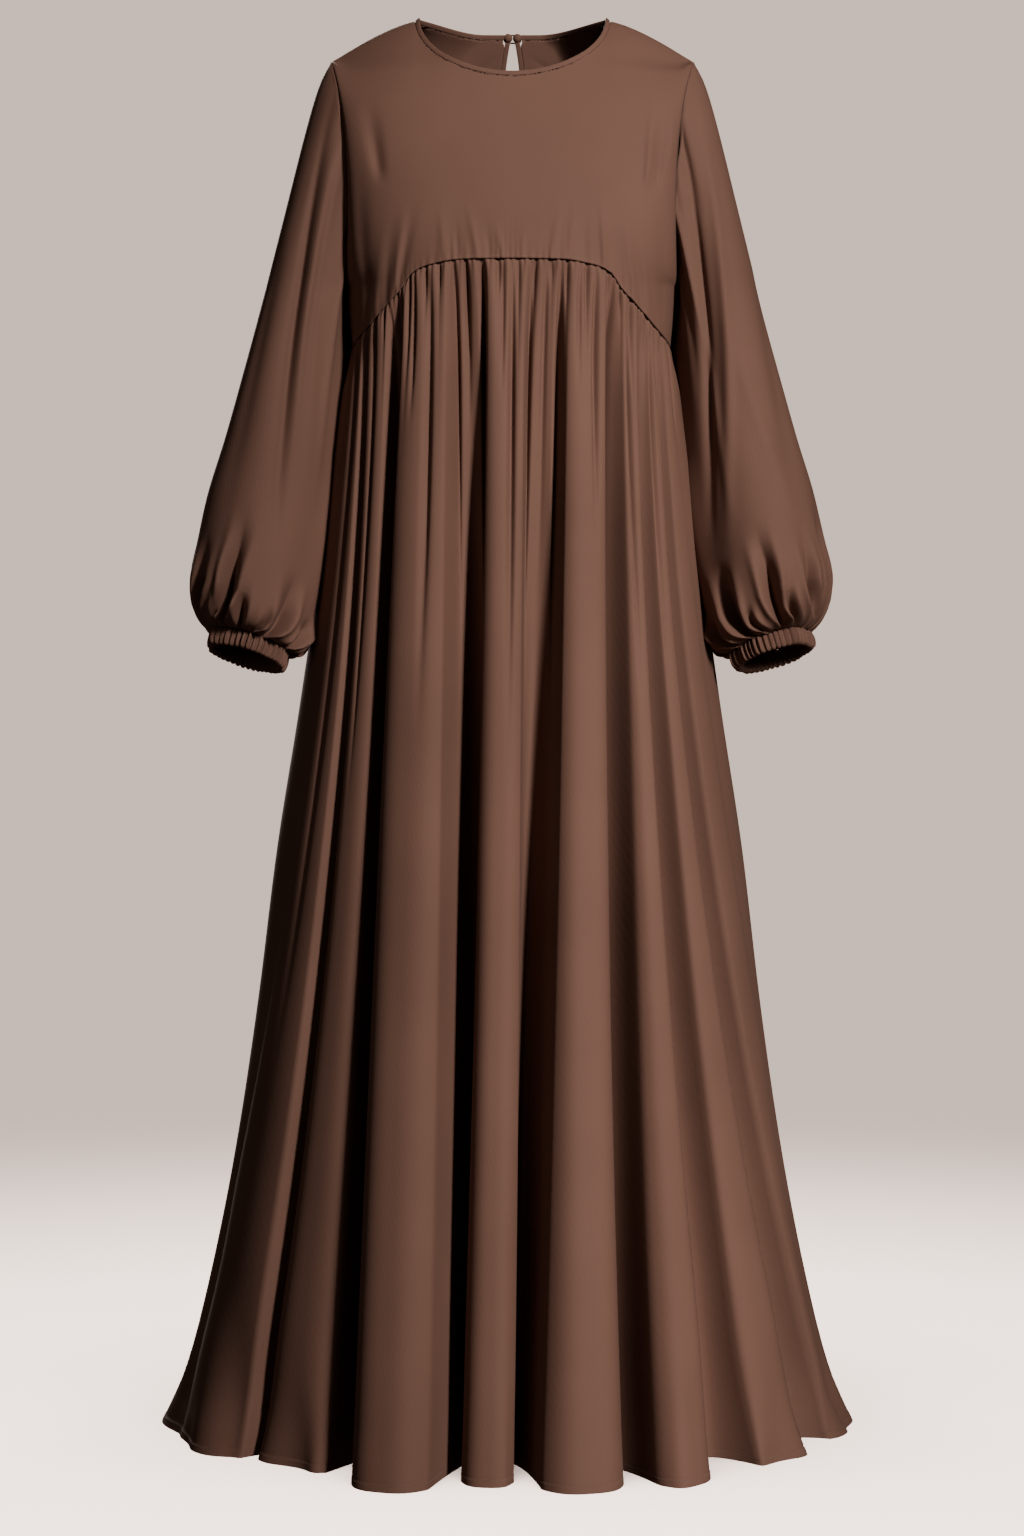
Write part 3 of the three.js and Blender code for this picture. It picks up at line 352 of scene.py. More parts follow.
class AbayaStudio(bpy.types.PropertyGroup):
    """The studio round the abaya"""

    distance: FloatProperty(name="Camera distance", description="From the mid plane to the camera",
                            default=3.0, min=1, unit="LENGTH")
    eye_height: FloatProperty(name="Camera height", description="Above the floor", default=0.652,
                              min=0, unit="LENGTH")
    lens: FloatProperty(name="Lens", description="Focal length in millimetres",
                        default=70.3125, min=10)
    key: FloatProperty(name="Key light", description="Power of the front light in watts",
                       default=6.0, min=0)
    floor_light: FloatProperty(name="Floor light", description="Power of the light on the floor",
                               default=330, min=0)
    fill: FloatProperty(name="Sky light", description="Strength of the light from all round",
                        default=0.045, min=0)
    floor: FloatVectorProperty(name="Floor", description="Colour of the floor", subtype="COLOR",
                               default=(0.90, 0.74, 0.67), min=0, max=1)
    backdrop: FloatVectorProperty(name="Backdrop", description="Colour of the backdrop",
                                  subtype="COLOR", default=(0.97, 0.765, 0.655), min=0, max=1)


# Curves and profiles

def lerp(a, b, t):
    return a + (b - a) * t


def smooth(t):
    t = np.clip(t, 0, 1)
    return t * t * (3 - 2 * t)


def unit(vectors):
    return vectors / np.maximum(np.linalg.norm(vectors, axis=-1, keepdims=True), 1e-12)


def fitted(columns, source, target):
    """A smooth curve with no overshoot through one column of a table"""
    order = np.argsort(columns[source])
    at = columns[source][order]
    value = columns[target][order]
    rise = np.diff(value) / np.diff(at)
    product = rise[:-1] * rise[1:]
    total = np.where(product > 0, rise[:-1] + rise[1:], 1)
    slope = np.concatenate([rise[:1], np.where(product > 0, 2 * product / total, 0), rise[-1:]])

    def curve(x):
        x = np.clip(x, at[0], at[-1])
        i = np.clip(np.searchsorted(at, x, side="right") - 1, 0, len(at) - 2)
        span = at[i + 1] - at[i]
        t = (x - at[i]) / span
        rest = 1 - t
        return (value[i] * rest * rest * (1 + 2 * t) + value[i + 1] * t * t * (3 - 2 * t)
                + span * (slope[i] * t * rest * rest - slope[i + 1] * t * t * rest))

    return curve


def worn(x, y, height):
    """Points in metres in the frame, with the garment's slight lean"""
    x, y, height = np.broadcast_arrays(x, y, height)
    lean = LEAN * (height - LEAN_FROM)
    return np.stack([x + lean, y, height - ORIGIN_HEIGHT], axis=-1) * MM


def along_crease(x, height, creases):
    """How far creases drawn in the front view move a point outwards"""
    moved = np.zeros_like(x)
    for x0, h0, x1, h1, width, depth in zip(*creases.values()):
        run = np.clip((h0 - height) / (h0 - h1), -0.5, 1.5)
        off = (x - lerp(x0, x1, run)) / (width * lerp(1.5, 0.8, np.clip(run, 0, 1)))
        strength = smooth(run * 1.25) * (1 - smooth((run - 0.92) * 4))
        moved += depth * strength * np.exp(-off * off)
    return moved


# Bodice

bodice_depth = {face: fitted(BODICE_SECTIONS, "height", face) for face in FACING}
seam_height = fitted(SEAM_LINE, "share", "height")


def shoulder_height(x):
    """Height of the shoulder line, with the nape's rise between the neck points"""
    out = np.maximum(0, np.abs(x) - NECK_HALF_WIDTH) / (SHOULDER_HALF_WIDTH - NECK_HALF_WIDTH)
    inside = np.clip(1 - (x / NECK_HALF_WIDTH) ** 2, 0, 1)
    slope = lerp(NECK_SIDE_HEIGHT, SHOULDER_TIP_HEIGHT, out ** SHOULDER_CURVE)
    return slope + NAPE_RISE * inside ** 2


def neck_height(face, x):
    across = np.clip(np.abs(x) / NECK_HALF_WIDTH, 0, 1)
    return lerp(NECK_SIDE_HEIGHT, NECK_LOW[face], np.sqrt(1 - across * across))


def armhole(turn):
    """Half width, depth and height of the armhole, from the shoulder tip down to the underarm"""
    down = np.sin(turn / 2) ** 2
    half_width = (UNDERARM_HALF_WIDTH - ARMHOLE_HOLLOW * np.sin(turn) ** 2
                  + (SHOULDER_HALF_WIDTH - UNDERARM_HALF_WIDTH) * (1 - down) ** 3)
    height = lerp(SHOULDER_TIP_HEIGHT, UNDERARM_HEIGHT, down)
    return half_width, ARMHOLE_DEPTH * np.sin(turn), height


def panel_half_width(height):
    """Half width of a bodice panel at a height, out to the armhole or the side seam"""
    down = np.clip((SHOULDER_TIP_HEIGHT - height) / (SHOULDER_TIP_HEIGHT - UNDERARM_HEIGHT), 0, 1)
    side = np.clip((UNDERARM_HEIGHT - height) / (UNDERARM_HEIGHT - SEAM_SIDE_HEIGHT), 0, 1)
    return (UNDERARM_HALF_WIDTH + (SHOULDER_HALF_WIDTH - UNDERARM_HALF_WIDTH) * (1 - down) ** 3
            - 4 * ARMHOLE_HOLLOW * down * (1 - down)
            - (UNDERARM_HALF_WIDTH - SEAM_HALF_WIDTH) * side)


def bodice_reach(face, x, height):
    """How far the bodice lies from the mid plane, with the armhole's hollow faded into it"""
    share = np.clip(np.abs(x) / panel_half_width(height), 0, 1)
    down = (SHOULDER_TIP_HEIGHT - height) / (SHOULDER_TIP_HEIGHT - UNDERARM_HEIGHT)
    hollow = np.maximum(down, 0) * (1 - down)
    soft = ARMHOLE_SOFTNESS * (1 - share)
    edge = 2 * ARMHOLE_DEPTH * np.sqrt((hollow + np.sqrt(hollow * hollow + soft * soft)) / 2)
    edge = edge * smooth(np.maximum(down, 0) * 12 + share ** 30)
    curve = np.sqrt(1 - share ** SECTION_POWER)
    outwards = np.minimum(1, (x / NECK_HALF_WIDTH) ** 2)
    rounding = FRONT_ROUND if face == "front" else lerp(NAPE_ROUND, BACK_SHOULDER_ROUND, outwards)
    below = np.clip((shoulder_height(x) - height) / rounding, 0, 1)
    top = np.sqrt(1 - (1 - below) ** 2)
    return (edge * lerp(1, top, 1 - share ** 8)
            + (bodice_depth[face](height) - edge) * curve * top)


def bodice_edge(run):
    """Half width and height of the bodice's side, from the shoulder tip down to the empire seam"""
    half_width, _, height = armhole(np.pi * np.minimum(1, run / ARMHOLE_PART))
    side = np.clip((run - ARMHOLE_PART) / (1 - ARMHOLE_PART), 0, 1)
    return (np.where(side > 0, lerp(UNDERARM_HALF_WIDTH, SEAM_HALF_WIDTH, side), half_width),
            np.where(side > 0, lerp(UNDERARM_HEIGHT, SEAM_SIDE_HEIGHT, side), height))


def under_neck(face, x, height):
    """The height, no higher than the neck's edge"""
    return np.where(np.abs(x) < NECK_HALF_WIDTH, np.minimum(height, neck_height(face, x)), height)


def bodice_place(face, share, run):
    """Place of a point of the bodice: x, its reach, and its height, before creases"""
    half_width, edge_height = bodice_edge(run)
    x = share * half_width
    top = shoulder_height(share * SHOULDER_HALF_WIDTH)
    low = seam_height(np.abs(share))
    edge_fall = (SHOULDER_TIP_HEIGHT - edge_height) / (SHOULDER_TIP_HEIGHT - SEAM_SIDE_HEIGHT)
    height = lerp(top, low, lerp(run, edge_fall, np.abs(share) ** 3))
    height = under_neck(face, x, height)
    reach = bodice_reach(face, x, height)
    reach = np.where((run == 0) & (np.abs(x) >= NECK_HALF_WIDTH), 0, reach)
    return x, reach, height


def puckers(x, above):
    """Small puckers that the gathers pull just over the empire seam"""
    uneven = x + 3 * np.sin(x / 17) + 2 * np.sin(x / 7.3 + 1)
    tall = 9 + 5 * np.sin(x / 9.1 + 2)
    return PUCKER_DEPTH * np.exp(-np.clip(above, 0, None) / tall) * np.sin(
        2 * np.pi * uneven / PUCKER_SPACING)


def bodice_points(face, x, reach, height, share, run):
    """Points of a bodice with its creases, its puckers and the bead of its empire seam"""
    creases = FRONT_CREASES if face == "front" else BACK_CREASES
    above = height - seam_height(np.abs(share))
    inside = smooth((1 - np.abs(share)) * 12)
    over = along_crease(x, height, creases) + puckers(x, above)
    reach = reach + inside * over * smooth(run * 30)
    bead = SEAM_BEAD * np.exp(-((above - 1.2) / 1.1) ** 2) - SEAM_TUCK * smooth(1 - above / 0.8)
    return worn(x, FACING[face] * (reach + bead + SEAM_GAP / 2), height)


def seam_polyline(face):
    """The empire seam as a line with even steps, and its share of length at an x"""
    share = np.linspace(-1, 1, 801)
    x, reach, height = bodice_place(face, share, np.ones_like(share))
    points = np.stack([x, FACING[face] * (reach + SEAM_GAP / 2), height], axis=-1)
    length = np.concatenate([[0], np.cumsum(np.linalg.norm(np.diff(points, axis=0), axis=1))])
    length /= length[-1]

    def at(part):
        return np.stack([np.interp(part, length, points[:, axis]) for axis in range(3)], axis=-1)

    return at, lambda seam_x: np.interp(seam_x, points[:, 0], length)


# Skirt

skirt = {name: fitted(SKIRT_SECTIONS, "height", name)
         for name in SKIRT_SECTIONS if name != "height"}


def through(line, fall):
    """A curve through a value at the seam, half-way and at the hem"""
    top, half, hem = line
    return (top * (1 - fall) * (1 - 2 * fall) + 4 * half * fall * (1 - fall)
            + hem * fall * (2 * fall - 1))


def stretches(folds, share_at):
    """The fold fronts and the valleys between them, from side to side"""
    found = []
    count = len(folds) * 2
    start = {"share": 0.0, "line": None, "side": -1, "lying": 0}
    valley = 0
    for k, (left, right, lying, crown, next_valley) in enumerate(folds):
        edges = []
        for number, line in ((2 * k + 1, left), (2 * k + 2, right)):
            limits = (EDGE_SPACING * number - 1, 1 - EDGE_SPACING * (count + 1 - number))
            edges.append({"share": float(share_at(line[0])), "line": line, "limits": limits,
                          "lying": lying})
        found.append((start, edges[0], valley, 0))
        found.append((edges[0], edges[1], 0, crown))
        start = edges[1]
        valley = next_valley
    end = {"share": 1.0, "line": None, "side": 1, "lying": 0}
    found.append((start, end, valley, 0))
    return found


def edge_angle(edge, fall, half_width):
    if edge["line"] is None:
        return np.full_like(fall, edge["side"] * np.pi / 2)
    return np.arcsin(np.clip(through(edge["line"], fall) / half_width, *edge["limits"]))


def skirt_outline(face, found, seam_at, share, fall):
    """Point, outward direction and seam point for each share of the way across and down"""
    start = seam_at(share)
    height = start[:, 2] * (1 - fall)
    half_width = skirt["half_width"](height)
    angle = np.zeros_like(share)
    moved = np.zeros_like(share)
    for left, right, valley, crown in found:
        mask = (share >= left["share"]) & (share <= right["share"])
        if not mask.any():
            continue
        part = fall[mask]
        q = (share[mask] - left["share"]) / (right["share"] - left["share"])
        pinch = VALLEY_PINCH * np.sqrt(part) if valley > 0 else 0
        across = q - pinch * np.sin(2 * np.pi * q) / (2 * np.pi)
        angle[mask] = lerp(edge_angle(left, part, half_width[mask]),
                           edge_angle(right, part, half_width[mask]), across)
        sunk = VALLEY_FULLNESS * valley * part ** 0.7 * np.sin(np.pi * q)
        proud = crown * part * (1 - np.abs(2 * q - 1) ** 3)
        lying = part * lerp(left["lying"], right["lying"], smooth(q))
        moved[mask] = proud + lying - sunk
    middle = skirt["middle"](height)
    depth = skirt[face](height) - FACING[face] * middle
    power = skirt["power"](height)
    sideways = np.sin(angle)
    forward = np.sqrt(np.maximum(0, 1 - np.abs(sideways) ** power))
    outward = unit(np.stack([
        np.sign(sideways) * np.abs(sideways) ** (power - 1) * power / half_width,
        FACING[face] * 2 * forward / depth,
        np.zeros_like(share),
    ], axis=-1))
    reach = middle + FACING[face] * forward * depth
    point = np.stack([sideways * half_width, reach, height], axis=-1)
    return point + outward * moved[:, None], outward, start


def gathers(seed, share, down):
    """Uneven small gathers under the seam: rounded tubes with a narrow deep crease between them"""
    drift = 0.28 * np.sin(14 * share + seed) + 0.2 * np.sin(31 * share + 2 * seed)
    cycles = GATHERS * share + drift
    own = np.floor(cycles + 0.5)
    off = cycles - own
    own_depth = 0.62 + 0.38 * np.sin(2.4 * own + seed) * np.cos(0.9 * own)
    own_length = 46 + 30 * np.sin(1.7 * own + 2 * seed)
    begun = 1 - np.exp(-(down + 2.5) / 8)
    tube = GATHER_DEPTH * np.abs(np.sin(np.pi * off)) ** 0.75 * np.exp(-down / 58)
    crease = own_depth * (5.5 * np.exp(-(off / 0.10) ** 2) + 2.5 * np.exp(-(off / 0.24) ** 2))
    crease = crease * np.exp(-(down / own_length) ** 2)
    between_ticks = np.abs(np.sin(np.pi * (TICKS * share + 1.3 * drift)))
    ticks = TICK_DEPTH * np.exp(-down / 11) * (1 - between_ticks)
    return begun * (tube - 1.6 * np.exp(-down / 58) - crease) - ticks


def tucks(table_of_tucks, share_at, share, fall):
    """Deeper tucks from their places on the seam, narrow at the bottom and round beside it"""
    moved = np.zeros_like(share)
    scale = share_at(1.0) - share_at(0.0)
    for x, width, depth, deepest, end in zip(*table_of_tucks.values()):
        centre = share_at(x)
        off = (share - centre) / (width * scale)
        rise = np.sin(np.pi / 2 * np.clip(fall / deepest, 0, 1)) ** 0.7
        rise = TUCK_FULLNESS * rise * (1 - smooth((fall - deepest) / (end - deepest)))
        narrow = np.exp(-(off / 0.72) ** 2)
        wide = np.exp(-(np.sqrt(off * off + 0.14) - 0.37) / 1.3)
        moved -= depth * rise * (0.6 * narrow + 0.45 * wide)
    return moved


def hem_swing(swings, x, height):
    """How far the hem's own swings move a point outwards"""
    moved = np.zeros_like(x)
    for centre, width, tall, out in zip(*swings.values()):
        off = (x - centre) / (width * (1 + 0.8 * height / tall))
        moved += out * np.exp(-off * off - (height / tall) ** 2)
    return moved


def skirt_points(face, share, fall):
    """Points of a skirt panel by share of the way across and down, with its folds"""
    folds, own_tucks, swings, seed = SKIRT_PARTS[face]
    seam_at, share_at = seam_polyline(face)
    found = stretches(folds, share_at)
    fall = np.asarray(fall, float)
    inside = np.clip(fall, 0, 1)
    point, outward, start = skirt_outline(face, found, seam_at, share, inside)
    top, _, _ = skirt_outline(face, found, seam_at, share, np.zeros_like(inside))
    down = start[:, 2] * inside
    point = point + (start - top) * np.exp(-down / 60)[:, None]
    calm = smooth(np.minimum(share, 1 - share) * 26)
    moved = gathers(seed, share, down) + tucks(own_tucks, share_at, share, inside)
    moved = calm * (moved + hem_swing(swings, point[:, 0], point[:, 2]))
    over_fold = point[:, 2] - HEM_FOLD_HEIGHT
    moved = moved + 0.55 * smooth(-over_fold) - 0.5 * np.exp(-((over_fold - 0.2) / 0.8) ** 2)
    point = point + outward * moved[:, None]
    side = (share <= 0) | (share >= 1)
    side_seam = skirt["middle"](point[:, 2]) + FACING[face] * SEAM_GAP / 2
    point[:, 1] = np.where(side, side_seam, point[:, 1])
    tucked = np.clip(-fall, 0, None) * start[:, 2]
    point[:, 2] += tucked
    point -= outward * (0.5 * tucked + 1.5 * np.exp(-down / 1.6))[:, None]
    return worn(point[:, 0], point[:, 1], np.maximum(point[:, 2], 0))


# Sleeves and cuffs, worked out on the side of -X; turn 0 is the outer line and grows to the front

sleeve = {name: fitted(SLEEVE_SECTIONS, "height", name) for name in ("outer", "inner", "depth")}
cuff_out = np.array([-1.0, 0.0, 0.0])
cuff_out = unit(cuff_out - CUFF_FACING * cuff_out.dot(CUFF_FACING))
cuff_front = np.cross(CUFF_FACING, cuff_out)
cuff_front = cuff_front * -np.sign(cuff_front[1])


def sleeve_ring(turn, height):
    """The plain section of a sleeve at a height"""
    outer, inner = sleeve["outer"](height), sleeve["inner"](height)
    low = np.clip((UNDERARM_HEIGHT - height) / (UNDERARM_HEIGHT - LIP_INNER_HEIGHT), 0, 1)
    x = -(outer + inner) / 2 - (outer - inner) / 2 * np.cos(turn)
    y = -sleeve["depth"](height) * np.sin(turn) - SLEEVE_FORWARD * low
    return np.stack([x, y, height], axis=-1)


def cuff_point(turn, along, radius):
    """A point round the cuff's own axis, in millimetres"""
    turn, along, radius = np.broadcast_arrays(turn, along, radius)
    return (CUFF_CENTRE + CUFF_FACING * along[..., None]
            + cuff_out * (radius * np.cos(turn))[..., None]
            + cuff_front * (radius * np.sin(turn))[..., None])


def turn_gap(turn, centre):
    """The signed turn from a centre, the shorter way round"""
    return (turn - centre + np.pi) % (2 * np.pi) - np.pi


def drawn_in(side, turn, height, folds):
    """How far the long folds of a sleeve draw a point inwards"""
    moved = np.zeros_like(turn)
    for own, top, low, start, end, depth, spread in zip(*folds.values()):
        if own == -side:
            continue
        run = np.clip((top - height) / (top - low), 0, 1)
        off = turn_gap(turn, lerp(start, end, run)) / spread
        moved += depth * np.sin(np.pi * run) * np.exp(-off * off)
    return moved


def balloon(side, turn, down):
    """How far the creases that fan out over the balloon draw a point inwards"""
    moved = np.zeros_like(turn)
    for own, start, turn_in, turn_out, depth, spread in zip(*BALLOON_CREASES.values()):
        if own != side:
            continue
        run = np.clip((down - start) / (1 - start), 0, 1)
        spread = spread * BALLOON_SHARPNESS
        off = turn_gap(turn, lerp(turn_in, turn_out, smooth(run))) / (spread * lerp(1.5, 0.6, run))
        strength = BALLOON_FULLNESS * smooth(run * 2.6) * lerp(1, 0.5, smooth((run - 0.5) * 2))
        moved += depth * strength * np.exp(-np.abs(off) ** 1.5)
        ridge = (np.abs(off) - 1.7) / 0.7
        moved -= 0.3 * depth * strength * np.exp(-ridge * ridge)
    return moved


def sleeve_points(side, turn, down):
    """Points of a sleeve by turn and by share of its length, with its creases"""
    half_width, depth, start_height = armhole(np.where(turn <= np.pi, turn, 2 * np.pi - turn))
    forward = np.where(turn <= np.pi, -1, 1)
    start = np.stack([-half_width - SEAM_GAP, forward * depth, start_height], axis=-1)
    lip_height = lerp(LIP_INNER_HEIGHT, LIP_OUTER_HEIGHT, np.cos(turn / 2) ** 2)
    long_part = np.clip(down / LIP_PART, 0, 1)
    hidden = np.clip(-down / 0.006, 0, 1)
    height = lerp(start_height, lip_height, long_part)
    ring = sleeve_ring(turn, height)
    ring = ring + (start - sleeve_ring(turn, start_height)) * ((1 - long_part) ** 3)[:, None]
    middle = -(sleeve["outer"](height) + sleeve["inner"](height)) / 2
    inwards = unit(np.stack([middle - ring[:, 0], -ring[:, 1], np.zeros_like(turn)], axis=-1))
    folds = sum(drawn_in(side, turn, height, each) for each in (SLEEVE_FOLDS, SLEEVE_CREASES))
    cap = CAP_EASE * np.exp(-long_part / 0.02) * np.sin(11 * turn + np.sin(3 * turn))
    cap = cap * (height > 1180)
    ring = ring + inwards * (folds + cap * smooth(long_part * 90) + 1.1 * hidden)[:, None]
    ring[:, 0] += 2.4 * hidden
    t = np.clip((down - LIP_PART) / (1 - LIP_PART), 0, 1)[:, None]
    below = ring - np.array([0, 0, LIP_DROP])
    swell = cuff_point(turn, LIP_LEVEL - LIP_TILT * np.cos(turn), CUFF_RADIUS + LIP_SWELL)
    end = cuff_point(turn, -SEAM_GAP, CUFF_RADIUS - 0.4)
    curve = ((1 - t) ** 3 * ring + 3 * (1 - t) ** 2 * t * below + 3 * (1 - t) * t ** 2 * swell
             + t ** 3 * end)
    radial = cuff_point(turn, 0.0, 1.0) - CUFF_CENTRE
    inward = unit(lerp(inwards, -radial, smooth(t)))
    share = t[:, 0]
    phase = LIP_GATHERS * turn + 0.9 * np.sin(3 * turn + side) + 0.5 * np.sin(7 * turn)
    small = LIP_GATHER_DEPTH * share ** 2 * (0.55 - np.abs(np.sin(phase / 2)) ** 0.8)
    fine = 0.4 * share ** 8 * np.cos(3 * phase + 1)
    fade = (1 - 0.5 * smooth((share - 0.8) * 5)) * (1 - 0.8 * smooth((share - 0.9) * 10))
    points = curve + inward * (balloon(side, turn, down) * fade + small + fine)[:, None]
    return worn(points[:, 0] * -side, points[:, 1], points[:, 2])


def cuff_points(side, ruches, turn, round_part):
    """A ruched band folded over its elastic: round_part runs down the outside and up the inside"""
    wide = (0.7 * np.sin(3 * turn + side) + 0.5 * np.sin(5 * turn + 2 * side)
            + 0.3 * np.sin(8 * turn))
    phase = ruches * turn + wide
    ridge = np.abs(np.sin(phase / 2)) ** 0.6
    uneven = 0.8 + 0.3 * np.sin(6 * turn + 1.7 * side) + 0.15 * np.sin(13 * turn)
    fine = 0.22 * np.sin(3 * phase + 2 * np.sin(4 * turn))
    angle = 2 * np.pi * round_part
    across = np.cos(angle)
    outside = smooth(0.5 + across)
    scallop = np.where(np.sin(angle) < 0, 1.5, 0.2) * (ridge - 0.7)
    along = CUFF_HEIGHT / 2 - (CUFF_HEIGHT / 2 + scallop) * np.sin(angle)
    sway = 0.5 * np.sin(phase + 1.2) * np.sin(np.pi * np.clip(along / CUFF_HEIGHT, 0, 1))
    bulge = np.sqrt(np.maximum(0, 1 - ((along - CUFF_HEIGHT / 2) / (CUFF_HEIGHT / 2 + 1)) ** 2))
    ruches_out = CUFF_RUCHE_DEPTH * ridge * uneven + fine
    outer = CUFF_RADIUS - 1.2 + 1.8 * bulge + ruches_out * (0.55 + 0.45 * bulge)
    inner = CUFF_RADIUS - 4.4 - 0.9 * bulge + 2.6 * ridge
    radius = lerp(inner, outer, outside)
    bent = turn + sway / CUFF_RADIUS
    points = cuff_point(bent, along, radius)
    return worn(points[..., 0] * -side, points[..., 1], points[..., 2])


# Bindings, buttons and loop

def neck_direction(face, x):
    """The way the neck binding stands on the neck's edge"""
    across = np.clip(x / NECK_HALF_WIDTH, -1, 1)
    along = np.sqrt(1 - across * across)
    upright = lerp(0.66, 0.96, along)
    return unit(np.stack([-0.75 * across, -FACING[face] * 0.3 * along, upright], axis=-1))


def neck_line(count):
    """The neck's edge from button to button round the front, with its up and out directions"""
    stop = math.acos((BUTTON_REACH - BUTTON_OVERLAP) / NECK_HALF_WIDTH)
    angle = np.linspace(-stop, math.pi + stop, count)
    x = NECK_HALF_WIDTH * np.cos(angle)
    back = np.sin(angle) < 0
    points = np.zeros((count, 3))
    up = np.zeros((count, 3))
    for face, mask in (("back", back), ("front", ~back)):
        across = x[mask]
        height = neck_height(face, across)
        reach = bodice_reach(face, across, height)
        points[mask] = np.stack([across, FACING[face] * (reach + SEAM_GAP / 2), height], axis=-1)
        up[mask] = neck_direction(face, across)
    tangent = unit(np.gradient(points, axis=0))
    out = unit(np.cross(tangent, up))
    flip = np.sign(np.sum(out[:, :2] * points[:, :2], axis=1))
    out = out * np.where(flip == 0, 1, flip)[:, None]
    return points, up, out


def keyhole_outline(grow, count):
    """The slit's outline from its +X top round its lowest point to its -X top"""
    slit_top = BUTTON_HEIGHT - BUTTON_RADIUS - SEAM_GAP
    first = math.asin((BACK_NECK_TOP - slit_top) / KEYHOLE_LENGTH)
    turn = np.linspace(first, math.pi - first, count)

    def at(value):
        share = np.sin(value)
        return np.stack([KEYHOLE_FULLNESS * share ** 0.75 * np.cos(value),
                         BACK_NECK_TOP - share * KEYHOLE_LENGTH], axis=-1)

    tangent = unit(at(turn + 1e-3) - at(turn - 1e-3))
    normal = np.stack([-tangent[:, 1], tangent[:, 0]], axis=-1)
    return at(turn) + normal * grow


def binding_profile(v, width, thickness):
    """A folded strip's rounded section: rise along its width and reach out of its middle"""
    angle = 2 * np.pi * v
    square = 0.62
    rise = width / 2 * (1 + np.sign(np.cos(angle)) * np.abs(np.cos(angle)) ** square)
    reach = thickness / 2 * np.sign(np.sin(angle)) * np.abs(np.sin(angle)) ** square
    return rise, reach


def on_back(x, height):
    """Points on the outer face of the back bodice, in millimetres"""
    reach = bodice_reach("back", x, np.minimum(height, NECK_LOW["back"]))
    return np.stack([x, reach + SEAM_GAP / 2, height], axis=-1)


# Making a mesh

def mean_facing(bm):
    """How much of the mesh faces +Y, less what faces -Y"""
    return sum(face.normal.y * face.calc_area() for face in bm.faces)


def outward_score(bm):
    """Positive where most faces point away from the middle of their own level"""
    centre = np.mean([vert.co for vert in bm.verts], axis=0)
    score = 0.0
    for face in bm.faces:
        offset = np.array(face.calc_center_median()) - centre
        offset[2] = 0
        score += float(np.dot(offset, face.normal)) * face.calc_area()
    return score


def sheet(columns, rows, place, size, wrap=False, facing=None):
    """A grid with a weave map in metres, each of its points set on the garment by place(u, v)

    Its faces look outwards, or along Y by facing, or stay as they are where that is 0.
    """
    bm = bmesh.new()
    weave = bm.loops.layers.uv.new("Weave")
    bmesh.ops.create_grid(bm, x_segments=columns, y_segments=rows, size=0.5)
    flat = np.array([(vert.co.x + 0.5, 0.5 - vert.co.y) for vert in bm.verts])
    for face in bm.faces:
        for loop in face.loops:
            u, v = flat[loop.vert.index]
            loop[weave].uv = (u * size[0], -v * size[1])
    for vert, point in zip(bm.verts, place(flat[:, 0], flat[:, 1])):
        vert.co = point
    if wrap:
        bmesh.ops.remove_doubles(bm, verts=bm.verts, dist=MERGE_DISTANCE)
    bm.normal_update()
    if (outward_score(bm) if facing is None else facing * mean_facing(bm)) < 0:
        bmesh.ops.reverse_faces(bm, faces=bm.faces)
    return bm


def finish_piece(bm, name, material, wall=None):
    """The finished object of a mesh, smooth, riding on the garment"""
    mesh = bpy.data.meshes.new(name)
    bm.to_mesh(mesh)
    bm.free()
    mesh.shade_smooth()
    piece = bpy.data.objects.new(name, mesh)
    bpy.context.scene.collection.objects.link(piece)
    piece.data.materials.append(material)
    if wall:
        solid = piece.modifiers.new("Cloth wall", "SOLIDIFY")
        solid.thickness = wall
        solid.offset = -1
        solid.use_rim = True
    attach(piece, "root")
    return piece


def spaced(total, *parts):
    """A map from even shares to uneven ones: parts are (share of rows, end value)"""
    at = np.concatenate([[0], np.cumsum([part for part, _ in parts])])
    value = np.array([total] + [end for _, end in parts], float)
    return lambda v: np.interp(v, at / at[-1], value)


def strip(rows, columns, place, length, name, material):
    """A closed strip swept along the garment, with its two ends filled"""
    bm = sheet(rows, columns, place, (length, 0.014), wrap=True, facing=0)
    ends = [edge for edge in bm.edges if edge.is_boundary]
    bmesh.ops.holes_fill(bm, edges=ends)
    bmesh.ops.recalc_face_normals(bm, faces=bm.faces)
    return finish_piece(bm, name, material)


# Materials

class Nodes:
    """Makes and links the nodes of a material or a world"""

    def __init__(self, owner):
        owner.use_nodes = True
        self.tree = owner.node_tree

    def feed(self, node, inputs):
        """Links each input that is given a socket, and sets each that is given a value"""
        for name, value in inputs.items():
            if isinstance(value, bpy.types.NodeSocket):
                self.tree.links.new(value, node.inputs[name])
            else:
                node.inputs[name].default_value = value

    def add(self, kind, inputs=None, **settings):
        node = self.tree.nodes.new("ShaderNode" + kind)
        for name, value in settings.items():
            setattr(node, name, value)
        self.feed(node, inputs or {})
        return node.outputs

    def ramp(self, factor, *stops):
        """A colour that goes from one stop to the next, each a position and a colour"""
        node = self.tree.nodes.new("ShaderNodeValToRGB")
        for element, (position, colour) in zip(node.color_ramp.elements, stops):
            element.position = position
            element.color = (*colour, 1)
        self.feed(node, {"Fac": factor})
        return node.outputs["Color"]


def toned(colour, tone):
    return [channel * tone for channel in colour]


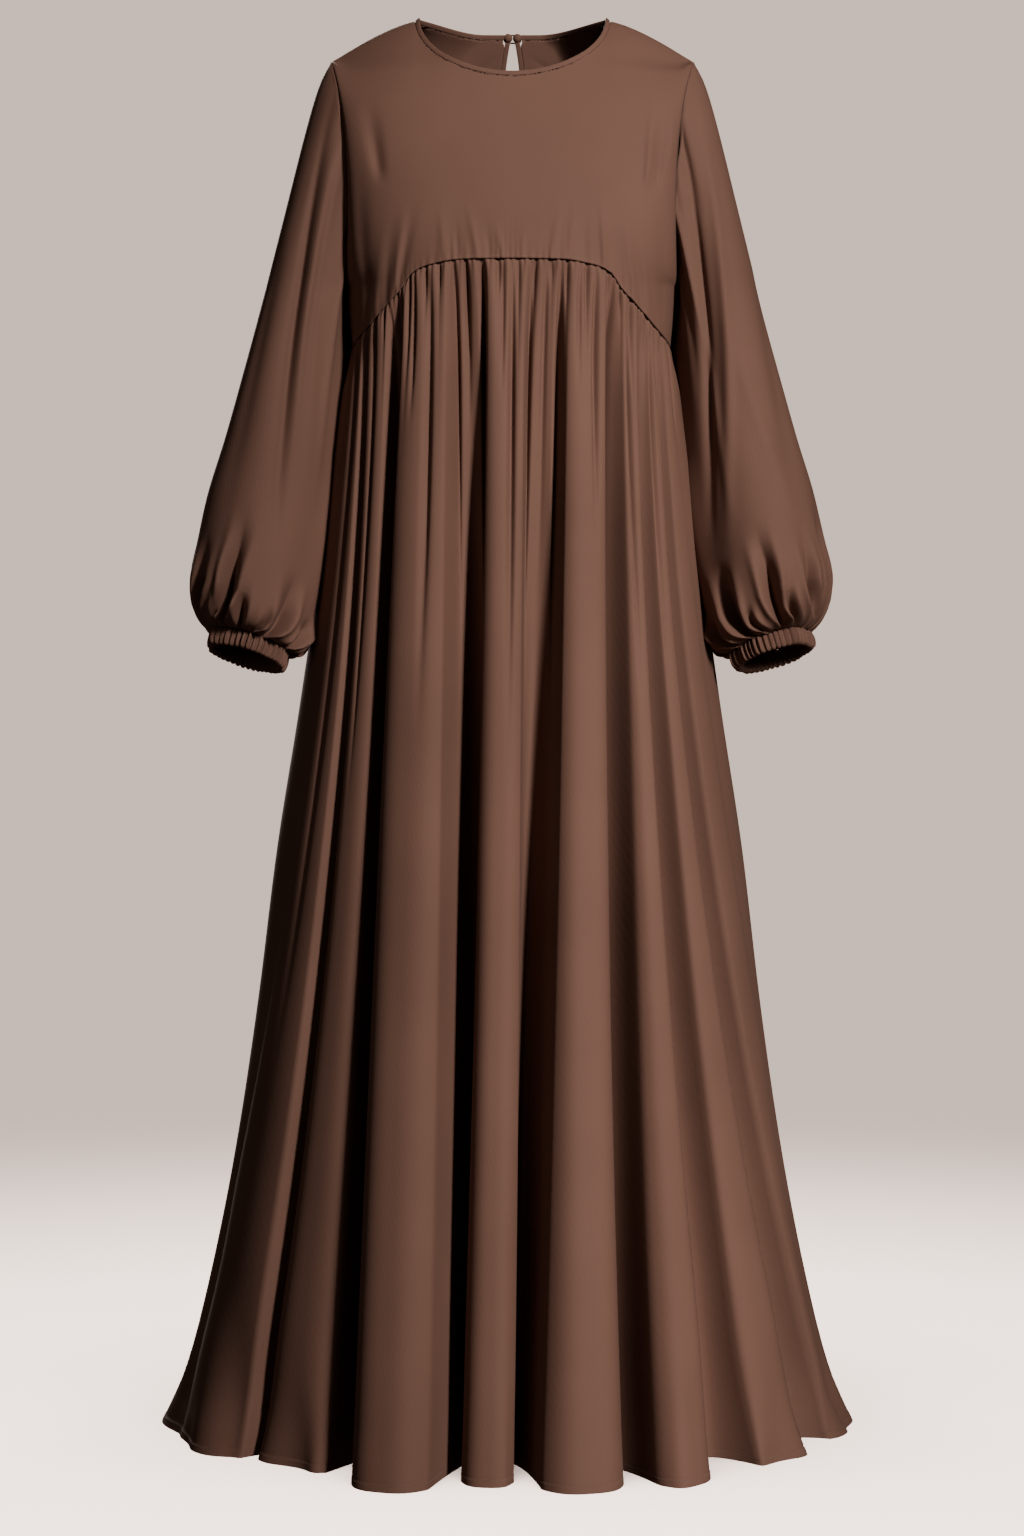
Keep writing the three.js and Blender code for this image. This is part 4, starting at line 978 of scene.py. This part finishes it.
def cloth_material(name, settings, bump=0.25, tone=1.0):
    """Smooth crepe: a fine uneven weave, slow shifts of colour, and a soft sheen"""
    found = bpy.data.materials.get(name)
    if found:
        return found
    material = bpy.data.materials.new(name)
    nodes = Nodes(material)
    place = nodes.add("TexCoord")
    slow = nodes.add("TexNoise", {"Scale": 5.5, "Detail": 3, "Vector": place["Object"]})
    grain = nodes.add("TexNoise", {"Scale": 1 / (settings.weave * 1.6), "Detail": 2,
                                   "Vector": place["UV"]})
    threads = nodes.add("TexWave", {"Scale": 1 / (settings.weave * 20), "Distortion": 3.5,
                                    "Detail": 2, "Detail Scale": 2.4, "Vector": place["UV"]},
                        wave_type="BANDS", bands_direction="DIAGONAL")
    cocoa = nodes.ramp(slow["Fac"], (0.34, toned(settings.shade, tone)),
                       (0.66, toned(settings.colour, tone)))
    speckle = nodes.add("Mix", {"Factor": 0.16, "A": cocoa, "B": grain["Fac"]},
                        data_type="RGBA", blend_type="MULTIPLY")
    lift = nodes.add("BrightContrast", {"Bright": 0.004, "Color": speckle["Result"]})
    height = nodes.add("Math", {0: grain["Fac"], 1: threads["Fac"]}, operation="ADD")
    relief = nodes.add("Bump", {"Strength": bump, "Distance": WEAVE_RELIEF,
                                "Height": height["Value"]})
    nodes.feed(material.node_tree.nodes["Principled BSDF"], {
        "Base Color": lift["Color"],
        "Normal": relief["Normal"],
        "Roughness": settings.roughness,
        "Specular IOR Level": 0.16,
        "Sheen Weight": settings.sheen,
        "Sheen Roughness": 0.38,
        "Sheen Tint": (1.0, 0.80, 0.70, 1),
    })
    return material


def thread_material(settings):
    """Twisted sewing thread"""
    material = bpy.data.materials.new("Sewing thread")
    nodes = Nodes(material)
    place = nodes.add("TexCoord")
    twist = nodes.add("TexWave", {"Scale": 900, "Vector": place["Object"]},
                      bands_direction="DIAGONAL")
    colour = nodes.ramp(twist["Fac"], (0, toned(settings.thread, 0.7)),
                        (1, toned(settings.thread, 1.3)))
    nodes.feed(material.node_tree.nodes["Principled BSDF"],
               {"Base Color": colour, "Roughness": 0.5, "Sheen Weight": 0.3})
    return material


def floor_material(studio):
    """Plain pale floor that fades softly into the backdrop"""
    material = bpy.data.materials.new("Floor")
    nodes = Nodes(material)
    place = nodes.add("TexCoord")
    slow = nodes.add("TexNoise", {"Scale": 0.7, "Vector": place["Object"]})
    colour = nodes.ramp(slow["Fac"], (0.3, toned(studio.floor, 0.97)), (0.7, studio.floor))
    middle = nodes.add("Mapping", {"Location": (0, 0, ORIGIN_HEIGHT * MM),
                                   "Vector": place["Object"]})
    distance = nodes.add("VectorMath", {0: middle["Vector"]}, operation="LENGTH")
    fade = nodes.add("MapRange", {"Value": distance["Value"], "From Min": FLOOR_FADE,
                                  "From Max": FLOOR_RADIUS * 0.97, "To Min": 1, "To Max": 0},
                     interpolation_type="SMOOTHSTEP")
    nodes.feed(material.node_tree.nodes["Principled BSDF"],
               {"Base Color": colour, "Roughness": 0.85, "Specular IOR Level": 0.1,
                "Alpha": fade["Result"]})
    return material


def studio_world(studio):
    """A plain pale backdrop all round, with little light of its own"""
    world = bpy.data.worlds.new("Studio")
    nodes = Nodes(world)
    backdrop = (*studio.backdrop, 1)
    seen = world.node_tree.nodes["Background"]
    nodes.feed(seen, {"Color": backdrop})
    dim = nodes.add("Background", {"Color": backdrop, "Strength": studio.fill})
    path = nodes.add("LightPath")
    either = nodes.add("MixShader", {"Fac": path["Is Camera Ray"], 1: dim["Background"],
                                     2: seen.outputs["Background"]})
    nodes.feed(world.node_tree.nodes["World Output"], {"Surface": either["Shader"]})
    return world


def stitches(name, path, normals, material):
    """A row of stitches along a path, each a short rounded bar that lies on the cloth"""
    steps = np.linalg.norm(np.diff(path, axis=0), axis=1)
    run = np.concatenate([[0], np.cumsum(steps)])
    step = STITCH_LENGTH + STITCH_GAP
    bm = bmesh.new()
    for start in np.arange(STITCH_GAP, run[-1] - step, step):
        first, last, normal = (
            np.array([np.interp(at, run, line[:, axis]) for axis in range(3)])
            for at, line in ((start, path), (start + STITCH_LENGTH, path),
                             (start + STITCH_LENGTH / 2, normals)))
        normal = unit(normal)
        along = unit(last - first)
        across = unit(np.cross(normal, along))
        middle = (first + last) / 2 + normal * STITCH_RISE
        for vert in bmesh.ops.create_cube(bm, size=1)["verts"]:
            x, y, z = vert.co
            taper = 1 - 0.35 * (z > 0)
            vert.co = (middle + along * x * STITCH_LENGTH * taper
                       + across * y * STITCH_WIDTH * taper + normal * z * STITCH_HEIGHT)
    return finish_piece(bm, name, material)


# Operators: one for each piece or group of like pieces

def crepe_piece(bm, name, settings):
    return finish_piece(bm, name, cloth_material("Crepe", settings), settings.wall)


class ABAYA_OT_front_bodice(bpy.types.Operator):
    """Front bodice with its soft tucks over the empire seam"""

    bl_idname = "abaya.front_bodice"
    bl_label = "Front Bodice"

    def execute(self, context):
        settings = context.scene.abaya_cloth
        down = spaced(0, (18, 0.06), (62, 0.84), (36, 1))

        def place(u, v):
            share, run = 2 * u - 1, down(v)
            return bodice_points("front", *bodice_place("front", share, run), share, run)

        bm = sheet(240, 116, place, (0.38, 0.33), facing=FACING["front"])
        bmesh.ops.remove_doubles(bm, verts=bm.verts, dist=MERGE_DISTANCE)
        piece = crepe_piece(bm, "cloth_front_bodice", settings)
        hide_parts("front_bodice")
        return {"FINISHED"}


class ABAYA_OT_back_bodice(bpy.types.Operator):
    """Back bodice, open at its keyhole"""

    bl_idname = "abaya.back_bodice"
    bl_label = "Back Bodice"

    def execute(self, context):
        settings = context.scene.abaya_cloth
        outline = keyhole_outline(KEYHOLE_BINDING_WIDTH, 400)
        outline = outline[outline[:, 0] >= 0]
        order = np.argsort(outline[:, 1])
        slit_height, slit_width = outline[order, 1], outline[order, 0]

        def half_slit(height):
            width = np.interp(height, slit_height, slit_width, left=0)
            return lerp(width, BUTTON_REACH, smooth((height - SLIT_MOUTH_HEIGHT) / 3))

        down = spaced(0, (56, 0.36), (34, 0.84), (32, 1))

        def half(side, u, v):
            run = down(v)
            x, reach, height = bodice_place("back", side * u, run)
            opened = half_slit(height)
            moved = np.where(np.abs(x) < KEYHOLE_ROOM,
                             opened + np.abs(x) * (1 - opened / KEYHOLE_ROOM), np.abs(x))
            half_width, _ = bodice_edge(run)
            height = under_neck("back", moved, height)
            reach = bodice_reach("back", moved, height)
            reach = np.where((run == 0) & (moved >= NECK_HALF_WIDTH), 0, reach)
            x = side * moved
            return bodice_points("back", x, reach, height, x / half_width, run)

        bm, other = (sheet(96, 122, lambda u, v, own=side: half(own, u, v), (0.19, 0.33),
                           facing=FACING["back"]) for side in (1, -1))
        spare = bpy.data.meshes.new("Spare half")
        other.to_mesh(spare)
        other.free()
        bm.from_mesh(spare)
        bpy.data.meshes.remove(spare)
        bmesh.ops.remove_doubles(bm, verts=bm.verts, dist=MERGE_DISTANCE)
        piece = crepe_piece(bm, "cloth_back_bodice", settings)
        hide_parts("back_bodice")
        return {"FINISHED"}


class ABAYA_OT_skirt(bpy.types.Operator):
    """Front and back skirt, gathered to the bodice and hung in deep folds"""

    bl_idname = "abaya.skirt"
    bl_label = "Skirt"

    def execute(self, context):
        settings = context.scene.abaya_cloth
        columns = context.scene.abaya_fineness.skirt_columns
        down = spaced(-0.0022, (2, 0), (22, 0.04), (20, 0.16), (36, 0.93), (4, 0.9915), (8, 1))
        for face in FACING:
            bm = sheet(columns, 92, lambda u, v, own=face: skirt_points(own, u, down(v)),
                       (1.25, 1.14), facing=FACING[face])
            piece = crepe_piece(bm, f"cloth_{face}_skirt", settings)
            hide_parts(f"{face}_skirt")
        return {"FINISHED"}


class ABAYA_OT_sleeves(bpy.types.Operator):
    """Bishop sleeves, set into the armholes and gathered into the cuffs"""

    bl_idname = "abaya.sleeves"
    bl_label = "Sleeves"

    def execute(self, context):
        settings = context.scene.abaya_cloth
        columns = context.scene.abaya_fineness.sleeve_columns
        down = spaced(-0.006, (2, 0), (5, 0.012), (53, LIP_PART), (58, 1))
        for name, side in SIDES.items():
            bm = sheet(columns, 118,
                       lambda u, v, own=side: sleeve_points(own, 2 * np.pi * u, down(v)),
                       (0.4, 0.62), wrap=True)
            piece = crepe_piece(bm, f"cloth_{name}_sleeve", settings)
            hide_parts(f"{name}_sleeve")
        return {"FINISHED"}


class ABAYA_OT_cuffs(bpy.types.Operator):
    """Ruched cuffs, folded over their elastic"""

    bl_idname = "abaya.cuffs"
    bl_label = "Cuffs"

    def execute(self, context):
        settings = context.scene.abaya_cloth
        ruches = context.scene.abaya_fineness.cuff_ruches
        material = cloth_material("Ruched crepe", settings, bump=0.4, tone=0.94)
        for name, side in SIDES.items():
            bm = sheet(560, 36, lambda u, v, own=side: cuff_points(own, ruches, 2 * np.pi * u, v),
                       (0.46, 0.045), wrap=True)
            piece = finish_piece(bm, f"ruched_{name}_cuff", material)
            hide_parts(f"{name}_cuff")
        return {"FINISHED"}


class ABAYA_OT_bindings(bpy.types.Operator):
    """Neck and keyhole bindings"""

    bl_idname = "abaya.bindings"
    bl_label = "Bindings"

    def execute(self, context):
        settings = context.scene.abaya_cloth
        material = cloth_material("Bound crepe", settings, bump=0.3, tone=0.95)
        line, up, out = neck_line(NECK_ROWS + 1)

        def neck(u, v):
            row = np.rint(u * NECK_ROWS).astype(int)
            rise, reach = binding_profile(v, BINDING_WIDTH, NECK_BINDING_THICKNESS)
            points = line[row] + up[row] * (rise + 0.1)[:, None]
            points += out[row] * (reach - 0.35)[:, None]
            return worn(*points.T)

        piece = strip(NECK_ROWS, 20, neck, 0.42, "bound_neck", material)
        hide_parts("neck_binding")

        inner = keyhole_outline(0.0, KEYHOLE_ROWS + 1)
        outwards = keyhole_outline(1.0, KEYHOLE_ROWS + 1) - inner

        def keyhole(u, v):
            row = np.rint(u * KEYHOLE_ROWS).astype(int)
            rise, reach = binding_profile(v, KEYHOLE_BINDING_WIDTH, KEYHOLE_BINDING_THICKNESS)
            grown = inner[row] + outwards[row] * rise[:, None]
            points = on_back(grown[:, 0], grown[:, 1])
            points[:, 1] += reach - 0.6
            return worn(*points.T)

        piece = strip(KEYHOLE_ROWS, 18, keyhole, 0.19, "bound_keyhole", material)
        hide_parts("keyhole_binding")
        return {"FINISHED"}


class ABAYA_OT_buttons(bpy.types.Operator):
    """Two cloth-covered buttons and the cord loop that joins them"""

    bl_idname = "abaya.buttons"
    bl_label = "Buttons"

    def execute(self, context):
        settings = context.scene.abaya_cloth
        material = cloth_material("Covered button", settings, bump=0.35, tone=0.9)
        nape = on_back(np.zeros(1), np.full(1, float(NECK_LOW["back"])))[0, 1]
        for name, side in SIDES.items():
            bm = bmesh.new()
            bmesh.ops.create_uvsphere(bm, u_segments=40, v_segments=24, radius=BUTTON_RADIUS)
            for vert in bm.verts:
                x, y, z = vert.co
                edge = smooth(abs(y) / BUTTON_RADIUS - 0.35)
                pleat = 0.16 * math.cos(9 * math.atan2(z, x)) * edge
                vert.co *= 1 + pleat / BUTTON_RADIUS
                vert.co.y *= 0.94
                vert.co = worn(vert.co.x + side * (BUTTON_RADIUS + SEAM_GAP / 2), vert.co.y + nape,
                               vert.co.z + BUTTON_HEIGHT)
            piece = finish_piece(bm, f"covered_{name}_button", material)
            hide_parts(f"{name}_button")
        bm = bmesh.new()
        bmesh.ops.create_circle(bm, segments=14, radius=CORD_RADIUS)
        for vert in bm.verts:
            vert.co = (vert.co.x + CORD_BEND, 0, vert.co.y)
        bmesh.ops.spin(bm, geom=bm.verts[:] + bm.edges[:], cent=(0, 0, 0), axis=(0, 0, 1),
                       angle=2 * math.pi, steps=96, use_merge=True)
        bmesh.ops.remove_doubles(bm, verts=bm.verts, dist=1e-4)
        for vert in bm.verts:
            x, y, z = vert.co
            stretched = x + math.tanh(x * 1.6) * BUTTON_RADIUS
            vert.co = worn(stretched, nape + CORD_BEHIND + z, BUTTON_HEIGHT + y)
        bmesh.ops.recalc_face_normals(bm, faces=bm.faces)
        piece = finish_piece(bm, "cord_button_loop", material)
        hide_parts("button_loop")
        return {"FINISHED"}


class ABAYA_OT_sewing(bpy.types.Operator):
    """The stitched lines of the two hems"""

    bl_idname = "abaya.sewing"
    bl_label = "Sewing"

    def execute(self, context):
        settings = context.scene.abaya_cloth
        material = thread_material(settings)
        for face in FACING:
            share = np.linspace(0.004, 0.996, STITCHES_PATH)
            fall = np.full_like(share, 1 - HEM_STITCH_HEIGHT / SKIRT_LENGTH)
            path = skirt_points(face, share, fall)
            beside = skirt_points(face, share, fall - 0.002)
            tangent = unit(np.gradient(path, axis=0))
            normal = unit(np.cross(tangent, beside - path))
            normal = normal * -np.sign(np.sum(normal * np.array([0, -FACING[face], 0]), axis=1,
                                              keepdims=True))
            row = stitches(f"stitched_{face}_hem", path, normal, material)
        return {"FINISHED"}


class ABAYA_OT_studio(bpy.types.Operator):
    """Pale floor and backdrop, soft light and the camera"""

    bl_idname = "abaya.studio"
    bl_label = "Studio"

    def execute(self, context):
        studio = context.scene.abaya_studio
        ground = -ORIGIN_HEIGHT * MM
        bm = bmesh.new()
        bmesh.ops.create_circle(bm, cap_ends=True, segments=96, radius=FLOOR_RADIUS)
        bmesh.ops.translate(bm, verts=bm.verts, vec=(0, 0, ground))
        bm.normal_update()
        mesh = bpy.data.meshes.new("Floor")
        bm.to_mesh(mesh)
        bm.free()
        floor = bpy.data.objects.new("Floor", mesh)
        context.scene.collection.objects.link(floor)
        mesh.materials.append(floor_material(studio))
        floor.visible_diffuse = False
        floor.visible_glossy = False
        only_floor = bpy.data.collections.new("Floor light falls on")
        only_floor.objects.link(floor)
        not_floor = bpy.data.collections.new("Garment lights miss")
        not_floor.objects.link(floor)
        not_floor.collection_objects[0].light_linking.link_state = "EXCLUDE"
        warm = (1.0, 0.95, 0.92)
        # Name, place, aim, size, spread in degrees, power, and what it falls on
        lights = (
            ("Key light", (1.75, -3.1, 0.6), (0.02, 0, -0.78), (0.4, 2.0), 18, studio.key,
             not_floor),
            ("Left light", (-2.4, -3.0, 0.2), (0, 0, -0.6), (1.2, 1.6), 60, studio.key * 0.1,
             not_floor),
            ("Back light", (-0.7, 3.5, 0.9), (0, 0, -0.62), (0.8, 2.2), 40, studio.key * 2.6,
             not_floor),
            ("Floor light", (0, -0.3, 2.6), (0, -0.31, -1.4), (2.2, 2.2), 110, studio.floor_light,
             only_floor),
        )
        for name, place, aim, size, spread, power, lit in lights:
            light = bpy.data.lights.new(name, "AREA")
            light.shape = "RECTANGLE"
            light.size, light.size_y = size
            light.spread = math.radians(spread)
            light.energy = power
            light.color = warm
            lamp = bpy.data.objects.new(name, light)
            lamp.location = place
            direction = np.array(aim, float) - np.array(place, float)
            flat = math.hypot(direction[0], direction[1])
            lamp.rotation_euler = (math.atan2(flat, -direction[2]), 0,
                                   math.atan2(-direction[0], direction[1]))
            lamp.light_linking.receiver_collection = lit
            context.scene.collection.objects.link(lamp)
        context.scene.world = studio_world(studio)
        camera = bpy.data.cameras.new("Camera")
        camera.lens = studio.lens
        camera.clip_end = VIEW_END
        eye = bpy.data.objects.new("Camera", camera)
        eye.location = (CAMERA_X, -studio.distance, ground + studio.eye_height)
        eye.rotation_euler = (math.pi / 2, 0, 0)
        context.scene.collection.objects.link(eye)
        context.scene.camera = eye
        return {"FINISHED"}


PIECES = (
    ABAYA_OT_front_bodice,
    ABAYA_OT_back_bodice,
    ABAYA_OT_skirt,
    ABAYA_OT_sleeves,
    ABAYA_OT_cuffs,
    ABAYA_OT_bindings,
    ABAYA_OT_buttons,
    ABAYA_OT_sewing,
    ABAYA_OT_studio,
)


class ABAYA_PT_garment(bpy.types.Panel):
    """The abaya's pieces and settings"""

    bl_idname = "ABAYA_PT_garment"
    bl_label = "Abaya"
    bl_space_type = "VIEW_3D"
    bl_region_type = "UI"
    bl_category = "Abaya"

    def draw(self, context):
        layout = self.layout
        for group in (context.scene.abaya_cloth, context.scene.abaya_fineness,
                      context.scene.abaya_studio):
            box = layout.box()
            for name in group.__annotations__:
                box.prop(group, name)
        for piece in PIECES:
            layout.operator(piece.bl_idname)


CLASSES = (AbayaCloth, AbayaFineness, AbayaStudio, *PIECES, ABAYA_PT_garment)


def register():
    for each in CLASSES:
        bpy.utils.register_class(each)
    bpy.types.Scene.abaya_cloth = PointerProperty(type=AbayaCloth)
    bpy.types.Scene.abaya_fineness = PointerProperty(type=AbayaFineness)
    bpy.types.Scene.abaya_studio = PointerProperty(type=AbayaStudio)


def unregister():
    del bpy.types.Scene.abaya_studio
    del bpy.types.Scene.abaya_fineness
    del bpy.types.Scene.abaya_cloth
    for each in reversed(CLASSES):
        bpy.utils.unregister_class(each)


def main():
    register()
    bpy.ops.abaya.front_bodice()
    bpy.ops.abaya.back_bodice()
    bpy.ops.abaya.skirt()
    bpy.ops.abaya.sleeves()
    bpy.ops.abaya.cuffs()
    bpy.ops.abaya.bindings()
    bpy.ops.abaya.buttons()
    bpy.ops.abaya.sewing()
    bpy.ops.abaya.studio()


if __name__ == "__main__":
    main()
